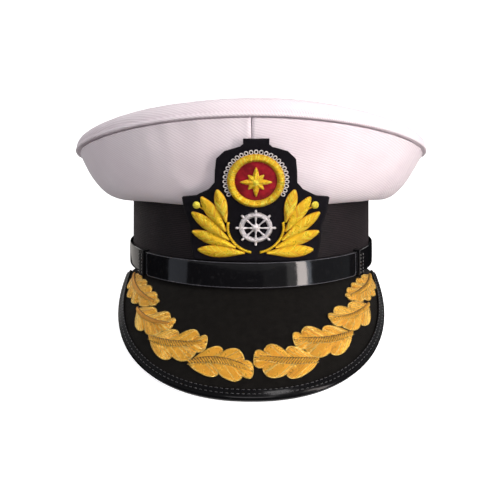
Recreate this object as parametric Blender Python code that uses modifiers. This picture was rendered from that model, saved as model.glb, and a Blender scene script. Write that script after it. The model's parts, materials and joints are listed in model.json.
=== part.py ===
"""A peaked sailor cap: white cloth crown, ribbed head band, chin strap, peak and an embroidered badge.

Everything is built in the cap's own frame: the head band stands upright on z = 0, the peak points
along -Y and the wearer's left is +X. The last step tips the whole cap back until it rests on the
band's rear edge and the peak, with its bounding box centred over the origin. Units are metres.
"""

import math

import bmesh
import bpy
from mathutils import Matrix, Vector

MM = 0.001
UP = Vector((0.0, 0.0, 1.0))

# Fit between neighbouring pieces
GAP = 0.3 * MM
STEPS_AROUND = 60
STEP = math.tau / STEPS_AROUND
QUARTER_STEPS = STEPS_AROUND // 4

# Head band: an upright oval ring, a little wider at its foot
HEAD_HALF_WIDTH = 83.2 * MM
HEAD_HALF_DEPTH = 99.0 * MM
BAND_WALL = 3.0 * MM
BAND_HEIGHT = 49.0 * MM
BAND_FLARE = 1.7 * MM

# Crown: four side quarters that spread from the band to a seam, and a top panel rolled over a hoop
CLOTH = 2.0 * MM
SEAM_HALF_WIDTH = 122.5 * MM
SEAM_FRONT_REACH = 125.5 * MM
SEAM_BACK_REACH = 129.0 * MM
SEAM_RISE_FRONT = 50.0 * MM
SEAM_RISE_SIDE = 25.0 * MM
SEAM_RISE_BACK = 18.0 * MM
ROLL_RADIUS_FRONT = 6.2 * MM
ROLL_RADIUS_SIDE = 3.2 * MM
ROLL_RADIUS_BACK = 5.0 * MM
DOME_RISE = 4.0 * MM
WELT_RADIUS = 1.3 * MM
WELT_PROUD = 0.5 * MM
SIDE_ROWS = 5
ROLL_ROWS = 3
DOME_ROWS = 2

# How the side cloth leaves the band and meets the seam: degrees above level, and the reach of
# each bend as a share of the straight line from the band to the seam
SIDE_BENDS = {
    "front": {"leave_deg": 26.0, "leave_share": 0.24, "meet_deg": 76.0, "meet_share": 0.30},
    "side": {"leave_deg": -40.0, "leave_share": 0.50, "meet_deg": 62.0, "meet_share": 0.26},
    "back": {"leave_deg": -26.0, "leave_share": 0.48, "meet_deg": 58.0, "meet_share": 0.28},
}

# Peak: a cloth-covered shell that slopes down from the band's front
PEAK_LENGTH = 68.4 * MM
PEAK_SPREAD_DEG = 82.5
PEAK_FULLNESS = 2.39
PEAK_TAPER = 2.6
PEAK_CORNER = 7.0 * MM
PEAK_SLOPE_FRONT_DEG = 43.0
PEAK_SLOPE_SIDE_DEG = 38.0
PEAK_BULGE = 2.0 * MM
PEAK_THICKNESS = 2.4 * MM
PEAK_SEAT = 0.4 * MM
PEAK_ROWS = 5

# Patent leather binding, folded round the peak's free edge
BINDING_WIDTH = 4.6 * MM
BINDING_THICKNESS = 1.0 * MM
BINDING_GAP = 0.4 * MM

# Chin strap: two layers held by a slide near each end, buttoned behind the temples
STRAP_WIDTH = 15.2 * MM
STRAP_THICKNESS = 1.2 * MM
STRAP_CHAMFER = 0.35 * MM
SLIDE_BACK = 0.5 * MM
SLIDE_FRONT = 1.0 * MM
SLIDE_EDGE = 0.7 * MM
STRAP_FOOT = PEAK_SEAT + 2 * GAP + SLIDE_EDGE
SLIDE_LENGTH = 6.4 * MM
SLIDE_STEPS = (8, 9)
STRAP_OVER_STEPS = 9
STRAP_UNDER_STEPS = 19
BUTTON_STEP = 18
BUTTON_RADIUS = 6.2 * MM
BUTTON_DOME = 2.4 * MM
BUTTON_EDGE = 1.2 * MM
BUTTON_SIDES = 14

# Badge patch: stiff felt that stands on the band and leans on the crown
PATCH_HEIGHT = 74.0 * MM
PATCH_HALF_WIDTH = 44.0 * MM
PATCH_THICKNESS = 1.8 * MM
PATCH_RADIUS = 100.0 * MM
PATCH_UPRIGHT = 5.0 * MM
PATCH_BEND_RADIUS = 30.0 * MM
PATCH_COLUMNS = 10
PATCH_SHIFT = 2.5 * MM

# The patch's outline from its foot to its top: shares of its height and of its half width
PATCH_OUTLINE = [
    {"height": 0.000, "half_width": 0.87},
    {"height": 0.130, "half_width": 0.91},
    {"height": 0.280, "half_width": 0.91},
    {"height": 0.400, "half_width": 0.97},
    {"height": 0.530, "half_width": 1.00},
    {"height": 0.545, "half_width": 0.80},
    {"height": 0.600, "half_width": 0.62},
    {"height": 0.660, "half_width": 0.53},
    {"height": 0.760, "half_width": 0.52},
    {"height": 0.850, "half_width": 0.50},
    {"height": 0.905, "half_width": 0.40},
    {"height": 0.940, "half_width": 0.20},
    {"height": 0.960, "half_width": 0.16},
    {"height": 1.000, "half_width": 0.16},
]

# Badge embroidery: a round medallion over a ship's wheel, between two laurel sprays
MEDALLION_HEIGHT = 50.2 * MM
MEDALLION_SIDES = 24
RING_RADIUS = 13.8 * MM
RING_HALF_WIDTH = 1.9 * MM
RING_THICKNESS = 2.4 * MM
CUSHION_THICKNESS = 1.2 * MM
STAR_LONG = 8.6 * MM
STAR_SHORT = 3.2 * MM
STAR_THICKNESS = 1.2 * MM
STAR_POINTS = 8
PEARL_RADIUS = 0.9 * MM
PEARL_ARC_DEG = 118.0
WHEEL_HEIGHT = 21.2 * MM
WHEEL_RADIUS = 8.2 * MM
WHEEL_RIM_RADIUS = 1.2 * MM
WHEEL_REACH = 11.6 * MM
WHEEL_BAR_WIDTH = 1.7 * MM
WHEEL_HUB_RADIUS = 2.6 * MM
WHEEL_THICKNESS = 1.5 * MM
WHEEL_BARS = 4

# Laurel leaves of one spray, from the foot outwards: each stalk's place on the stem's circle, in
# degrees above level, the leaf's heading, length and width. The other spray mirrors it.
LAUREL = [
    {"stalk_deg": -68.0, "heading_deg": 2.0, "length": 28.0 * MM, "width": 6.2 * MM},
    {"stalk_deg": -48.0, "heading_deg": 20.0, "length": 27.8 * MM, "width": 6.6 * MM},
    {"stalk_deg": -28.0, "heading_deg": 38.0, "length": 28.0 * MM, "width": 6.6 * MM},
    {"stalk_deg": -8.0, "heading_deg": 57.0, "length": 25.5 * MM, "width": 6.5 * MM},
    {"stalk_deg": 12.0, "heading_deg": 77.0, "length": 20.5 * MM, "width": 6.0 * MM},
]
LAUREL_THICKNESS = 1.9 * MM
LAUREL_EDGE = 0.7 * MM
LAUREL_STEPS = 6
STEM_WIDTH = 1.7 * MM
STEM_THICKNESS = 1.3 * MM
STEM_RADIUS = 16.0 * MM
STEM_FROM_DEG = -80.0
STEM_TO_DEG = 12.0
STEM_STEPS = 9

# Oak leaves on the peak: each stalk and tip by its bearing from the front (the wearer's left is
# positive) and its distance from the band along the slope, the width over the lobes, how far the
# leaf's middle bows outwards, and its lobes, the last of which is the half lobe at the tip
OAK = [
    {"name": "right_1", "stalk_deg": -58.5, "stalk_distance": 3.5 * MM, "tip_deg": -33.5,
     "tip_distance": 17.5 * MM, "width": 16.5 * MM, "bow": 2.5 * MM, "lobes": 4.5},
    {"name": "right_2", "stalk_deg": -39.5, "stalk_distance": 24.5 * MM, "tip_deg": -23.5,
     "tip_distance": 29.5 * MM, "width": 18.5 * MM, "bow": 3.0 * MM, "lobes": 2.5},
    {"name": "right_3", "stalk_deg": -28.5, "stalk_distance": 40.5 * MM, "tip_deg": -12.0,
     "tip_distance": 38.5 * MM, "width": 21.0 * MM, "bow": 2.5 * MM, "lobes": 2.5},
    {"name": "right_4", "stalk_deg": -15.0, "stalk_distance": 51.5 * MM, "tip_deg": 0.0,
     "tip_distance": 54.0 * MM, "width": 20.0 * MM, "bow": -3.5 * MM, "lobes": 2.5},
    {"name": "left_1", "stalk_deg": 59.0, "stalk_distance": 5.0 * MM, "tip_deg": 36.0,
     "tip_distance": 14.0 * MM, "width": 16.5 * MM, "bow": 2.0 * MM, "lobes": 4.5},
    {"name": "left_2", "stalk_deg": 42.5, "stalk_distance": 22.5 * MM, "tip_deg": 24.5,
     "tip_distance": 26.5 * MM, "width": 19.0 * MM, "bow": 2.5 * MM, "lobes": 2.5},
    {"name": "left_3", "stalk_deg": 29.0, "stalk_distance": 37.5 * MM, "tip_deg": 11.5,
     "tip_distance": 36.5 * MM, "width": 21.0 * MM, "bow": 2.5 * MM, "lobes": 2.5},
    {"name": "left_4", "stalk_deg": 16.0, "stalk_distance": 50.5 * MM, "tip_deg": 1.0,
     "tip_distance": 46.5 * MM, "width": 21.0 * MM, "bow": 1.0 * MM, "lobes": 2.5},
]
OAK_THICKNESS = 1.9 * MM
OAK_EDGE = 0.9 * MM
OAK_STEPS_PER_LOBE = 4
OAK_NOTCH_SHARE = 0.42
OAK_END_SHARE = 0.14
OAK_VEIN_LEAN = 0.6

COLOURS = {
    "white_cloth": ((0.86, 0.85, 0.87), 0.85, 0.0),
    "band_cloth": ((0.012, 0.011, 0.014), 0.75, 0.0),
    "peak_felt": ((0.010, 0.009, 0.011), 0.95, 0.0),
    "patent_leather": ((0.006, 0.006, 0.008), 0.10, 0.0),
    "badge_felt": ((0.008, 0.008, 0.014), 0.95, 0.0),
    "gold_bullion": ((0.85, 0.52, 0.10), 0.35, 0.8),
    "silver_bullion": ((0.78, 0.76, 0.76), 0.35, 0.8),
    "red_felt": ((0.36, 0.006, 0.016), 0.90, 0.0),
    "gilt_button": ((0.83, 0.58, 0.20), 0.25, 1.0),
}


# Scene, materials and mesh helpers


def clear_scene():
    for old in list(bpy.data.objects):
        bpy.data.objects.remove(old, do_unlink=True)


def make_materials():
    made = {}
    for name, (colour, roughness, metallic) in COLOURS.items():
        material = bpy.data.materials.new(name)
        material.use_nodes = True
        shader = material.node_tree.nodes["Principled BSDF"]
        shader.inputs["Base Color"].default_value = (*colour, 1.0)
        shader.inputs["Roughness"].default_value = roughness
        shader.inputs["Metallic"].default_value = metallic
        made[name] = material
    return made


def make_collection(name):
    collection = bpy.data.collections.new(name)
    bpy.context.scene.collection.children.link(collection)
    return collection


def add_object(name, data, slot):
    """A new object in the cap's collection, carried by the cap's empty."""
    made = bpy.data.objects.new(name, data)
    made.data.materials.append(MATERIALS[slot])
    CAP_PIECES.objects.link(made)
    made.parent = CAP
    return made


def mesh_from(bm, name, sharp_deg=35.0):
    mesh = bpy.data.meshes.new(name)
    bm.to_mesh(mesh)
    bm.free()
    mesh.shade_smooth()
    mesh.set_sharp_from_angle(angle=math.radians(sharp_deg))
    return mesh


def sheet(name, rows, slot, thickness, ring=False, middle=None):
    """An open surface through rows of points, thickened inwards; the outside is on the left of
    each row as the rows advance. A ring closes each row, and middle closes the last one."""
    bm = bmesh.new()
    grid = [[bm.verts.new(point) for point in row] for row in rows]
    count = len(rows[0])
    columns = range(count if ring else count - 1)
    for low, high in zip(grid, grid[1:]):
        for i in columns:
            j = (i + 1) % count
            bm.faces.new((low[i], low[j], high[j], high[i]))
    if middle is not None:
        hub = bm.verts.new(middle)
        for i in columns:
            bm.faces.new((grid[-1][i], grid[-1][(i + 1) % count], hub))
    made = add_object(name, mesh_from(bm, name), slot)
    shell = made.modifiers.new("Cloth", "SOLIDIFY")
    shell.thickness = thickness
    shell.offset = -1.0
    shell.use_even_offset = True
    return made


def loft(name, sections, slot, ring=False, sharp_deg=35.0):
    """A closed solid through loops of as many points each. A ring joins its last loop to its first."""
    bm = bmesh.new()
    loops = [[bm.verts.new(point) for point in section] for section in sections]
    count = len(sections[0])
    for i in range(len(loops) if ring else len(loops) - 1):
        here, there = loops[i], loops[(i + 1) % len(loops)]
        for j in range(count):
            k = (j + 1) % count
            bm.faces.new((here[j], here[k], there[k], there[j]))
    if not ring:
        bm.faces.new(loops[0])
        bm.faces.new(loops[-1])
    bmesh.ops.recalc_face_normals(bm, faces=bm.faces)
    return add_object(name, mesh_from(bm, name, sharp_deg), slot)


def tube(name, points, radius, slot, closed=False):
    """A round cord through points, as a bevelled curve."""
    curve = bpy.data.curves.new(name, "CURVE")
    curve.dimensions = "3D"
    curve.bevel_depth = radius
    curve.bevel_resolution = 1
    curve.use_fill_caps = not closed
    spline = curve.splines.new("POLY")
    spline.points.add(len(points) - 1)
    for point, place in zip(spline.points, points):
        point.co = (*place, 1.0)
    spline.use_cyclic_u = closed
    return add_object(name, curve, slot)


def mix(a, b, share):
    return a + (b - a) * share


def three_way(front, side, back, bearing):
    """A value that passes smoothly through the one at the front, both sides and the back."""
    mean = (front + back) / 4 + side / 2
    return mean + (front - back) / 2 * math.cos(bearing) + (mean - side) * math.cos(2 * bearing)


# Head band


def band_axes(height):
    """Half width and half depth of the band's outer face at a height."""
    flare = BAND_FLARE * (1 - height / BAND_HEIGHT)
    return HEAD_HALF_WIDTH + BAND_WALL + flare, HEAD_HALF_DEPTH + BAND_WALL + flare


def band_normal(bearing):
    a, b = band_axes(BAND_HEIGHT)
    return Vector((b * math.sin(bearing), -a * math.cos(bearing), 0.0)).normalized()


def band_face(bearing, height, out=0.0):
    """A point on the band's outer face, or that far out from it. Bearing 0 is the front."""
    a, b = band_axes(height)
    place = Vector((a * math.sin(bearing), -b * math.cos(bearing), height))
    return place + band_normal(bearing) * out


def build_head_band():
    sections = []
    for i in range(STEPS_AROUND):
        bearing = (i + 0.5) * STEP
        sections.append([
            band_face(bearing, 0.0),
            band_face(bearing, BAND_HEIGHT),
            band_face(bearing, BAND_HEIGHT, -BAND_WALL),
            band_face(bearing, 0.0, -BAND_WALL),
        ])
    loft("head_band", sections, "band_cloth", ring=True)


# Crown


def seam_point(bearing):
    """The seam between the side cloth and the top panel."""
    reach = SEAM_FRONT_REACH if math.cos(bearing) > 0 else SEAM_BACK_REACH
    rise = three_way(SEAM_RISE_FRONT, SEAM_RISE_SIDE, SEAM_RISE_BACK, bearing)
    return Vector((SEAM_HALF_WIDTH * math.sin(bearing), -reach * math.cos(bearing), BAND_HEIGHT + rise))


def side_bend(column, bearing):
    return three_way(*(SIDE_BENDS[place][column] for place in ("front", "side", "back")), bearing)


def side_foot(bearing):
    """Where the side cloth turns out over the band's top edge."""
    return band_face(bearing, BAND_HEIGHT, GAP) + UP * GAP


def outwards(bearing):
    level = seam_point(bearing) - side_foot(bearing)
    level.z = 0.0
    return level.normalized()


def heading(bearing, degrees):
    """A direction in the upright plane of the cloth's profile, that many degrees above level."""
    angle = math.radians(degrees)
    return outwards(bearing) * math.cos(angle) + UP * math.sin(angle)


def bezier(a, b, c, d, share):
    rest = 1 - share
    return a * rest**3 + b * (3 * rest**2 * share) + c * (3 * rest * share**2) + d * share**3


def side_profile(bearing, rows=SIDE_ROWS):
    """The side cloth's outer face from the band's inner edge, over its top and up to the seam."""
    foot, seam = side_foot(bearing), seam_point(bearing)
    line = (seam - foot).length
    leave = heading(bearing, side_bend("leave_deg", bearing)) * (side_bend("leave_share", bearing) * line)
    meet = heading(bearing, side_bend("meet_deg", bearing)) * (side_bend("meet_share", bearing) * line)
    flange = band_face(bearing, BAND_HEIGHT, -BAND_WALL) + UP * GAP
    curve = [bezier(foot, foot + leave, seam - meet, seam, i / rows) for i in range(rows + 1)]
    return [flange, *curve]


def seam_frame(bearing):
    """Direction of the cloth where it meets the seam, and its outward normal there."""
    degrees = side_bend("meet_deg", bearing)
    return heading(bearing, degrees), heading(bearing, degrees - 90)


def welt_centre(bearing):
    along, out = seam_frame(bearing)
    return seam_point(bearing) + along * (GAP + WELT_RADIUS) - out * (WELT_RADIUS - WELT_PROUD)


def top_roll(bearing):
    """The top panel's face from the welt round the hoop to its highest line."""
    along, out = seam_frame(bearing)
    start = seam_point(bearing) + along * (2 * GAP + 2 * WELT_RADIUS)
    radius = three_way(ROLL_RADIUS_FRONT, ROLL_RADIUS_SIDE, ROLL_RADIUS_BACK, bearing)
    centre = start - out * radius
    first = side_bend("meet_deg", bearing) - 90
    turns = [mix(first, 90.0, i / ROLL_ROWS) for i in range(ROLL_ROWS + 1)]
    return [centre + heading(bearing, turn) * radius for turn in turns]


def top_dome(bearing, share):
    """The top panel inside the hoop: a taut skin over its uneven rim, with a slight dome."""
    front, side, back = (top_roll(b)[-1].z for b in (0.0, math.pi / 2, math.pi))
    rim = top_roll(bearing)[-1]
    mean = (front + back) / 4 + side / 2
    tilt = (front - back) / 2 * math.cos(bearing)
    saddle = (mean - side) * math.cos(2 * bearing)
    correction = rim.z - (mean + tilt + saddle)
    skin = mean + tilt * share + (saddle + correction) * share**2
    return Vector((rim.x * share, rim.y * share, skin + DOME_RISE * (1 - share**2)))


def build_crown():
    trim = GAP / 2 / HEAD_HALF_WIDTH
    quarters = {"front_left": 0, "back_left": 1, "back_right": 2, "front_right": 3}
    for name, index in quarters.items():
        first = index * math.pi / 2
        bearings = [first + i * STEP for i in range(QUARTER_STEPS + 1)]
        bearings[0] += trim
        bearings[-1] -= trim
        rows = list(zip(*(side_profile(bearing) for bearing in bearings)))
        sheet(f"crown_{name}", rows, "white_cloth", CLOTH)
    bearings = [i * STEP for i in range(STEPS_AROUND)]
    tube("crown_welt", [welt_centre(b) for b in bearings], WELT_RADIUS, "white_cloth", closed=True)
    rows = list(zip(*(top_roll(bearing) for bearing in bearings)))
    for i in range(1, DOME_ROWS + 1):
        share = 1 - i / (DOME_ROWS + 1)
        rows.append([top_dome(bearing, share) for bearing in bearings])
    sheet("crown_top", rows, "white_cloth", CLOTH, ring=True, middle=top_dome(0.0, 0.0))


# Peak and its binding


def peak_slope(bearing):
    return math.radians(mix(PEAK_SLOPE_FRONT_DEG, PEAK_SLOPE_SIDE_DEG, 1 - math.cos(bearing)))


def peak_length(bearing):
    share = abs(bearing) / math.radians(PEAK_SPREAD_DEG)
    return PEAK_LENGTH * max(1 - share**PEAK_FULLNESS, 0.0) ** PEAK_TAPER


def peak_axes(bearing):
    """Down the slope, and square to it."""
    slope, out = peak_slope(bearing), band_normal(bearing)
    return out * math.cos(slope) - UP * math.sin(slope), out * math.sin(slope) + UP * math.cos(slope)


def peak_face(bearing, distance, height=0.0):
    """A point on the peak's upper face, that far from the band, or raised above it."""
    down, square = peak_axes(bearing)
    length = peak_length(bearing)
    share = distance / length if length else 0.0
    bulge = PEAK_BULGE * 4 * share * (1 - share) * length / PEAK_LENGTH
    return band_face(bearing, PEAK_SEAT, GAP) + down * distance + square * (height + bulge)


def peak_bearings():
    """Even steps across the peak, out to where it has narrowed to its corners."""
    corner = (PEAK_CORNER / PEAK_LENGTH) ** (1 / PEAK_TAPER)
    last = math.radians(PEAK_SPREAD_DEG) * (1 - corner) ** (1 / PEAK_FULLNESS)
    count = 2 * round(last / STEP) + 1
    return [mix(-last, last, i / count) for i in range(count + 1)]


def build_peak():
    sections = []
    for bearing in peak_bearings():
        length = peak_length(bearing)
        stops = [length * i / PEAK_ROWS for i in range(PEAK_ROWS + 1)]
        upper = [peak_face(bearing, stop) for stop in stops]
        lower = [peak_face(bearing, stop, -PEAK_THICKNESS) for stop in stops[:0:-1]]
        heel = upper[0] - UP * (PEAK_THICKNESS / math.cos(peak_slope(bearing)))
        sections.append([*upper, *lower, heel])
    loft("peak", sections, "peak_felt")


def edge_frame(bearing):
    """The peak's free edge: its place, the direction away from the peak, and the square to its face."""
    nudge = STEP / 20
    place = peak_face(bearing, peak_length(bearing))
    before = peak_face(bearing - nudge, peak_length(bearing - nudge))
    after = peak_face(bearing + nudge, peak_length(bearing + nudge))
    run = (after - before).normalized()
    down = (place - peak_face(bearing, peak_length(bearing) * 0.9)).normalized()
    square = run.cross(down).normalized()
    square = square if square.z > 0 else -square
    away = square.cross(run).normalized()
    return place, away if away.dot(down) > 0 else -away, square


def build_binding():
    inner, outer = BINDING_GAP, BINDING_GAP + BINDING_THICKNESS
    round_off = BINDING_THICKNESS * 0.6
    top, foot = 0.0, -PEAK_THICKNESS
    channel = [
        (-BINDING_WIDTH, top + outer),
        (outer - round_off, top + outer),
        (outer, top + outer - round_off),
        (outer, foot - outer + round_off),
        (outer - round_off, foot - outer),
        (-BINDING_WIDTH, foot - outer),
        (-BINDING_WIDTH, foot - inner),
        (inner, foot - inner),
        (inner, top + inner),
        (-BINDING_WIDTH, top + inner),
    ]
    sections = []
    for bearing in peak_bearings():
        place, away, square = edge_frame(bearing)
        sections.append([place + away * across + square * height for across, height in channel])
    loft("peak_binding", sections, "patent_leather")


# Chin strap, slides and buttons


def strap_section(bearing, inner):
    """The strap's section at a bearing, its back face that far out from the band."""
    outer = inner + STRAP_THICKNESS
    foot, top = STRAP_FOOT, STRAP_FOOT + STRAP_WIDTH
    return [
        band_face(bearing, foot, inner),
        band_face(bearing, foot, outer - STRAP_CHAMFER),
        band_face(bearing, foot + STRAP_CHAMFER, outer),
        band_face(bearing, top - STRAP_CHAMFER, outer),
        band_face(bearing, top, outer - STRAP_CHAMFER),
        band_face(bearing, top, inner),
    ]


def build_strap():
    under = GAP + SLIDE_BACK + GAP
    over = under + STRAP_THICKNESS + GAP
    layers = {"strap_under": (STRAP_UNDER_STEPS, under), "strap_over": (STRAP_OVER_STEPS, over)}
    for name, (steps, inner) in layers.items():
        sections = [strap_section(i * STEP, inner) for i in range(-steps, steps + 1)]
        loft(name, sections, "patent_leather")
    for name, side in (("left", 1), ("right", -1)):
        build_slide(f"strap_slide_{name}", side, over + STRAP_THICKNESS + GAP)
        build_button(f"strap_button_{name}", side, under + STRAP_THICKNESS + GAP)


def build_slide(name, side, front):
    """A leather loop round both layers of the strap, on the flat between two of its steps."""
    first, last = (side * step * STEP for step in SLIDE_STEPS)
    along = (band_face(last, 0.0) - band_face(first, 0.0)).normalized() * (SLIDE_LENGTH / 2)
    foot, top = STRAP_FOOT - GAP, STRAP_FOOT + STRAP_WIDTH + GAP
    hole = [(GAP + SLIDE_BACK, foot), (front, foot), (front, top), (GAP + SLIDE_BACK, top)]
    low, high, proud = foot - SLIDE_EDGE, top + SLIDE_EDGE, front + SLIDE_FRONT
    rim = [(GAP, low), (proud, low), (proud, high), (GAP, high)]
    sections = []
    for corners in zip(rim, hole):
        outer, inner = (
            (band_face(first, height, out) + band_face(last, height, out)) / 2 for out, height in corners
        )
        sections.append([outer + along, outer - along, inner - along, inner + along])
    loft(name, sections, "patent_leather", ring=True)


def build_button(name, side, out):
    """A plain domed button, turned about its own axis, at the strap's buttoned end."""
    bearing = side * BUTTON_STEP * STEP
    bm = bmesh.new()
    profile = [(0.0, BUTTON_EDGE + BUTTON_DOME)]
    for turn in (65.0, 40.0, 15.0):
        angle = math.radians(turn)
        profile.append((BUTTON_RADIUS * math.cos(angle), BUTTON_EDGE + BUTTON_DOME * math.sin(angle)))
    profile += [(BUTTON_RADIUS, BUTTON_EDGE * 0.7), (BUTTON_RADIUS, 0.0), (0.0, 0.0)]
    points = [bm.verts.new((x, 0.0, z)) for x, z in profile]
    for a, b in zip(points, points[1:]):
        bm.edges.new((a, b))
    made = add_object(name, mesh_from(bm, name), "gilt_button")
    turned = made.modifiers.new("Turned", "SCREW")
    turned.steps = turned.render_steps = BUTTON_SIDES
    turned.use_merge_vertices = True
    turned.merge_threshold = 0.00001
    normal = band_normal(bearing)
    made.rotation_euler = normal.to_track_quat("Z", "Y").to_euler()
    made.location = band_face(bearing, STRAP_FOOT + STRAP_WIDTH / 2, out)


# Badge patch


def patch_foot():
    """Height at which the patch starts, just above the chin strap."""
    return STRAP_FOOT + STRAP_WIDTH + SLIDE_EDGE


def patch_set_back(across):
    return PATCH_RADIUS * (1 - math.cos(across / PATCH_RADIUS))


def patch_line():
    """Distance in front of the head's centre of the upright part of the patch's face."""
    return -band_face(0.0, patch_foot()).y + GAP + PATCH_THICKNESS


def patch_section(above, lean):
    """The patch's face in side view: how far forward and up, and the angle it leans there."""
    turned = min(max(above - PATCH_UPRIGHT, 0.0), PATCH_BEND_RADIUS * lean)
    angle = turned / PATCH_BEND_RADIUS
    straight = above - PATCH_UPRIGHT - turned
    forward = PATCH_BEND_RADIUS * (1 - math.cos(angle)) + straight * math.sin(angle)
    rise = PATCH_UPRIGHT + PATCH_BEND_RADIUS * math.sin(angle) + straight * math.cos(angle)
    return forward, rise, angle


def patch_lean():
    """The least angle at which the leaning part of the patch clears the crown behind it."""
    crown = []
    for i in range(-9, 10):
        for point in side_profile(math.radians(3.0 * i), 20):
            across, rise = point.x - PATCH_SHIFT, point.z - patch_foot()
            if abs(across) < PATCH_HALF_WIDTH and rise < PATCH_HEIGHT:
                crown.append((-point.y + patch_set_back(across) - patch_line(), rise))
    lean, clear = 0.0, False
    while not clear:
        lean += math.radians(0.1)
        forward, rise, _ = patch_section(PATCH_UPRIGHT + PATCH_BEND_RADIUS * lean, lean)
        ahead = [(f - forward) * math.cos(lean) - (r - rise) * math.sin(lean) for f, r in crown]
        clear = max(ahead) < -PATCH_THICKNESS - GAP
    return lean


def patch_face(across, above, height=0.0):
    """A point on the patch's face, across and above its foot along the felt, or raised from it."""
    forward, rise, angle = patch_section(above, PATCH_LEAN)
    turn = across / PATCH_RADIUS
    radius = PATCH_RADIUS + height * math.cos(angle)
    return Vector((
        PATCH_SHIFT + radius * math.sin(turn),
        -(patch_line() + forward - PATCH_RADIUS + radius * math.cos(turn)),
        patch_foot() + rise - height * math.sin(angle),
    ))


def patch_half_width(height):
    """The outline's half width at a share of the patch's height."""
    for low, high in zip(PATCH_OUTLINE, PATCH_OUTLINE[1:]):
        if height <= high["height"]:
            share = (height - low["height"]) / (high["height"] - low["height"])
            return PATCH_HALF_WIDTH * mix(low["half_width"], high["half_width"], share)
    return PATCH_HALF_WIDTH * PATCH_OUTLINE[-1]["half_width"]


def build_patch():
    bend = [(PATCH_UPRIGHT + PATCH_BEND_RADIUS * PATCH_LEAN * i / 4) / PATCH_HEIGHT for i in range(5)]
    rows = []
    for height in sorted({row["height"] for row in PATCH_OUTLINE} | set(bend)):
        half = patch_half_width(height)
        across = [mix(-half, half, i / PATCH_COLUMNS) for i in range(PATCH_COLUMNS + 1)]
        rows.append([patch_face(x, height * PATCH_HEIGHT) for x in across])
    sheet("badge_patch", rows, "badge_felt", PATCH_THICKNESS)


# Raised embroidery


def leaf(name, slot, place, length, steps, half_width, thickness, edge, lean=0.0):
    """A padded leaf: place(along, across, height) sets a point on what it is sewn to."""
    sections = []
    for i in range(steps + 1):
        share = i / steps
        half = half_width(share)
        along, forward = share * length, lean * half
        crest = mix(edge, thickness, min(1.0, 4 * share * (1 - share) + 0.3))
        shoulder = mix(edge, crest, 0.72)
        sections.append([
            place(along + forward, -half, GAP),
            place(along + forward, -half, GAP + edge),
            place(along + forward * 0.5, -half * 0.55, GAP + shoulder),
            place(along, 0.0, GAP + crest),
            place(along + forward * 0.5, half * 0.55, GAP + shoulder),
            place(along + forward, half, GAP + edge),
            place(along + forward, half, GAP),
            place(along, 0.0, GAP),
        ])
    return loft(name, sections, slot, sharp_deg=50.0)


def laurel_half_width(width):
    return lambda share: width / 2 * (0.12 + 0.88 * math.sin(math.pi * share**1.35) ** 0.8)


def oak_half_width(width, lobes):
    """Half width along an oak leaf: an oval cut by sharp notches into round lobes."""

    def half(share):
        oval = max(OAK_END_SHARE, math.sqrt(math.sin(math.pi * min(share, 0.999) ** 0.8)))
        lobe = abs(math.sin(math.pi * lobes * share)) ** 0.6
        return width / 2 * oval * mix(1 - OAK_NOTCH_SHARE, 1.0, lobe)

    return half


def build_laurel():
    for side_name, side in (("left", 1), ("right", -1)):
        for index, row in enumerate(LAUREL, start=1):
            stalk, turn = math.radians(row["stalk_deg"]), math.radians(row["heading_deg"])

            def place(along, across, height, stalk=stalk, turn=turn, side=side):
                radius = STEM_RADIUS + STEM_WIDTH / 2 + 2 * GAP
                x = radius * math.cos(stalk) + along * math.cos(turn) - across * math.sin(turn)
                y = radius * math.sin(stalk) + along * math.sin(turn) + across * math.cos(turn)
                return patch_face(side * x, WHEEL_HEIGHT + y, height)

            leaf(
                f"laurel_{side_name}_{index}", "gold_bullion", place, row["length"], LAUREL_STEPS,
                laurel_half_width(row["width"]), LAUREL_THICKNESS, LAUREL_EDGE,
            )
        build_stem(f"laurel_{side_name}_stem", side)


def build_stem(name, side):
    """The spray's stem: part of a circle round the ship's wheel."""
    sections = []
    for i in range(STEM_STEPS + 1):
        turn = math.radians(mix(STEM_FROM_DEG, STEM_TO_DEG, i / STEM_STEPS))
        half = STEM_WIDTH / 2 * mix(1.0, 0.55, i / STEM_STEPS)
        loop = []
        for out, height in ((-1, 0), (-1, 0.6), (0, 1), (1, 0.6), (1, 0)):
            radius = STEM_RADIUS + out * half
            x, y = radius * math.cos(turn), WHEEL_HEIGHT + radius * math.sin(turn)
            loop.append(patch_face(side * x, y, GAP + height * STEM_THICKNESS))
        sections.append(loop)
    loft(name, sections, "gold_bullion", sharp_deg=50.0)


def medallion_face(radius, turn, height):
    return patch_face(radius * math.sin(turn), MEDALLION_HEIGHT + radius * math.cos(turn), height)


def build_medallion():
    inner, outer = RING_RADIUS - RING_HALF_WIDTH, RING_RADIUS + RING_HALF_WIDTH
    turns = [math.tau * i / MEDALLION_SIDES for i in range(MEDALLION_SIDES)]
    sections = [
        [
            medallion_face(inner, turn, GAP),
            medallion_face(inner, turn, GAP + 0.5 * RING_THICKNESS),
            medallion_face(RING_RADIUS, turn, GAP + RING_THICKNESS),
            medallion_face(outer, turn, GAP + 0.5 * RING_THICKNESS),
            medallion_face(outer, turn, GAP),
        ]
        for turn in turns
    ]
    loft("medallion_ring", sections, "gold_bullion", ring=True, sharp_deg=50.0)

    cushion = inner - GAP
    top = GAP + CUSHION_THICKNESS
    rows = [[medallion_face(cushion * share, turn, top) for turn in turns[::-1]] for share in (1.0, 0.5)]
    sheet(
        "medallion_cushion", rows, "red_felt", CUSHION_THICKNESS, ring=True,
        middle=medallion_face(0.0, 0.0, top),
    )
    build_star(top + GAP)

    reach = outer + GAP + PEARL_RADIUS
    arc = [math.radians(mix(-PEARL_ARC_DEG, PEARL_ARC_DEG, i / 24)) for i in range(25)]
    pearls = [medallion_face(reach, turn, GAP + PEARL_RADIUS) for turn in arc]
    tube("medallion_pearls", pearls, PEARL_RADIUS, "silver_bullion")


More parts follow.
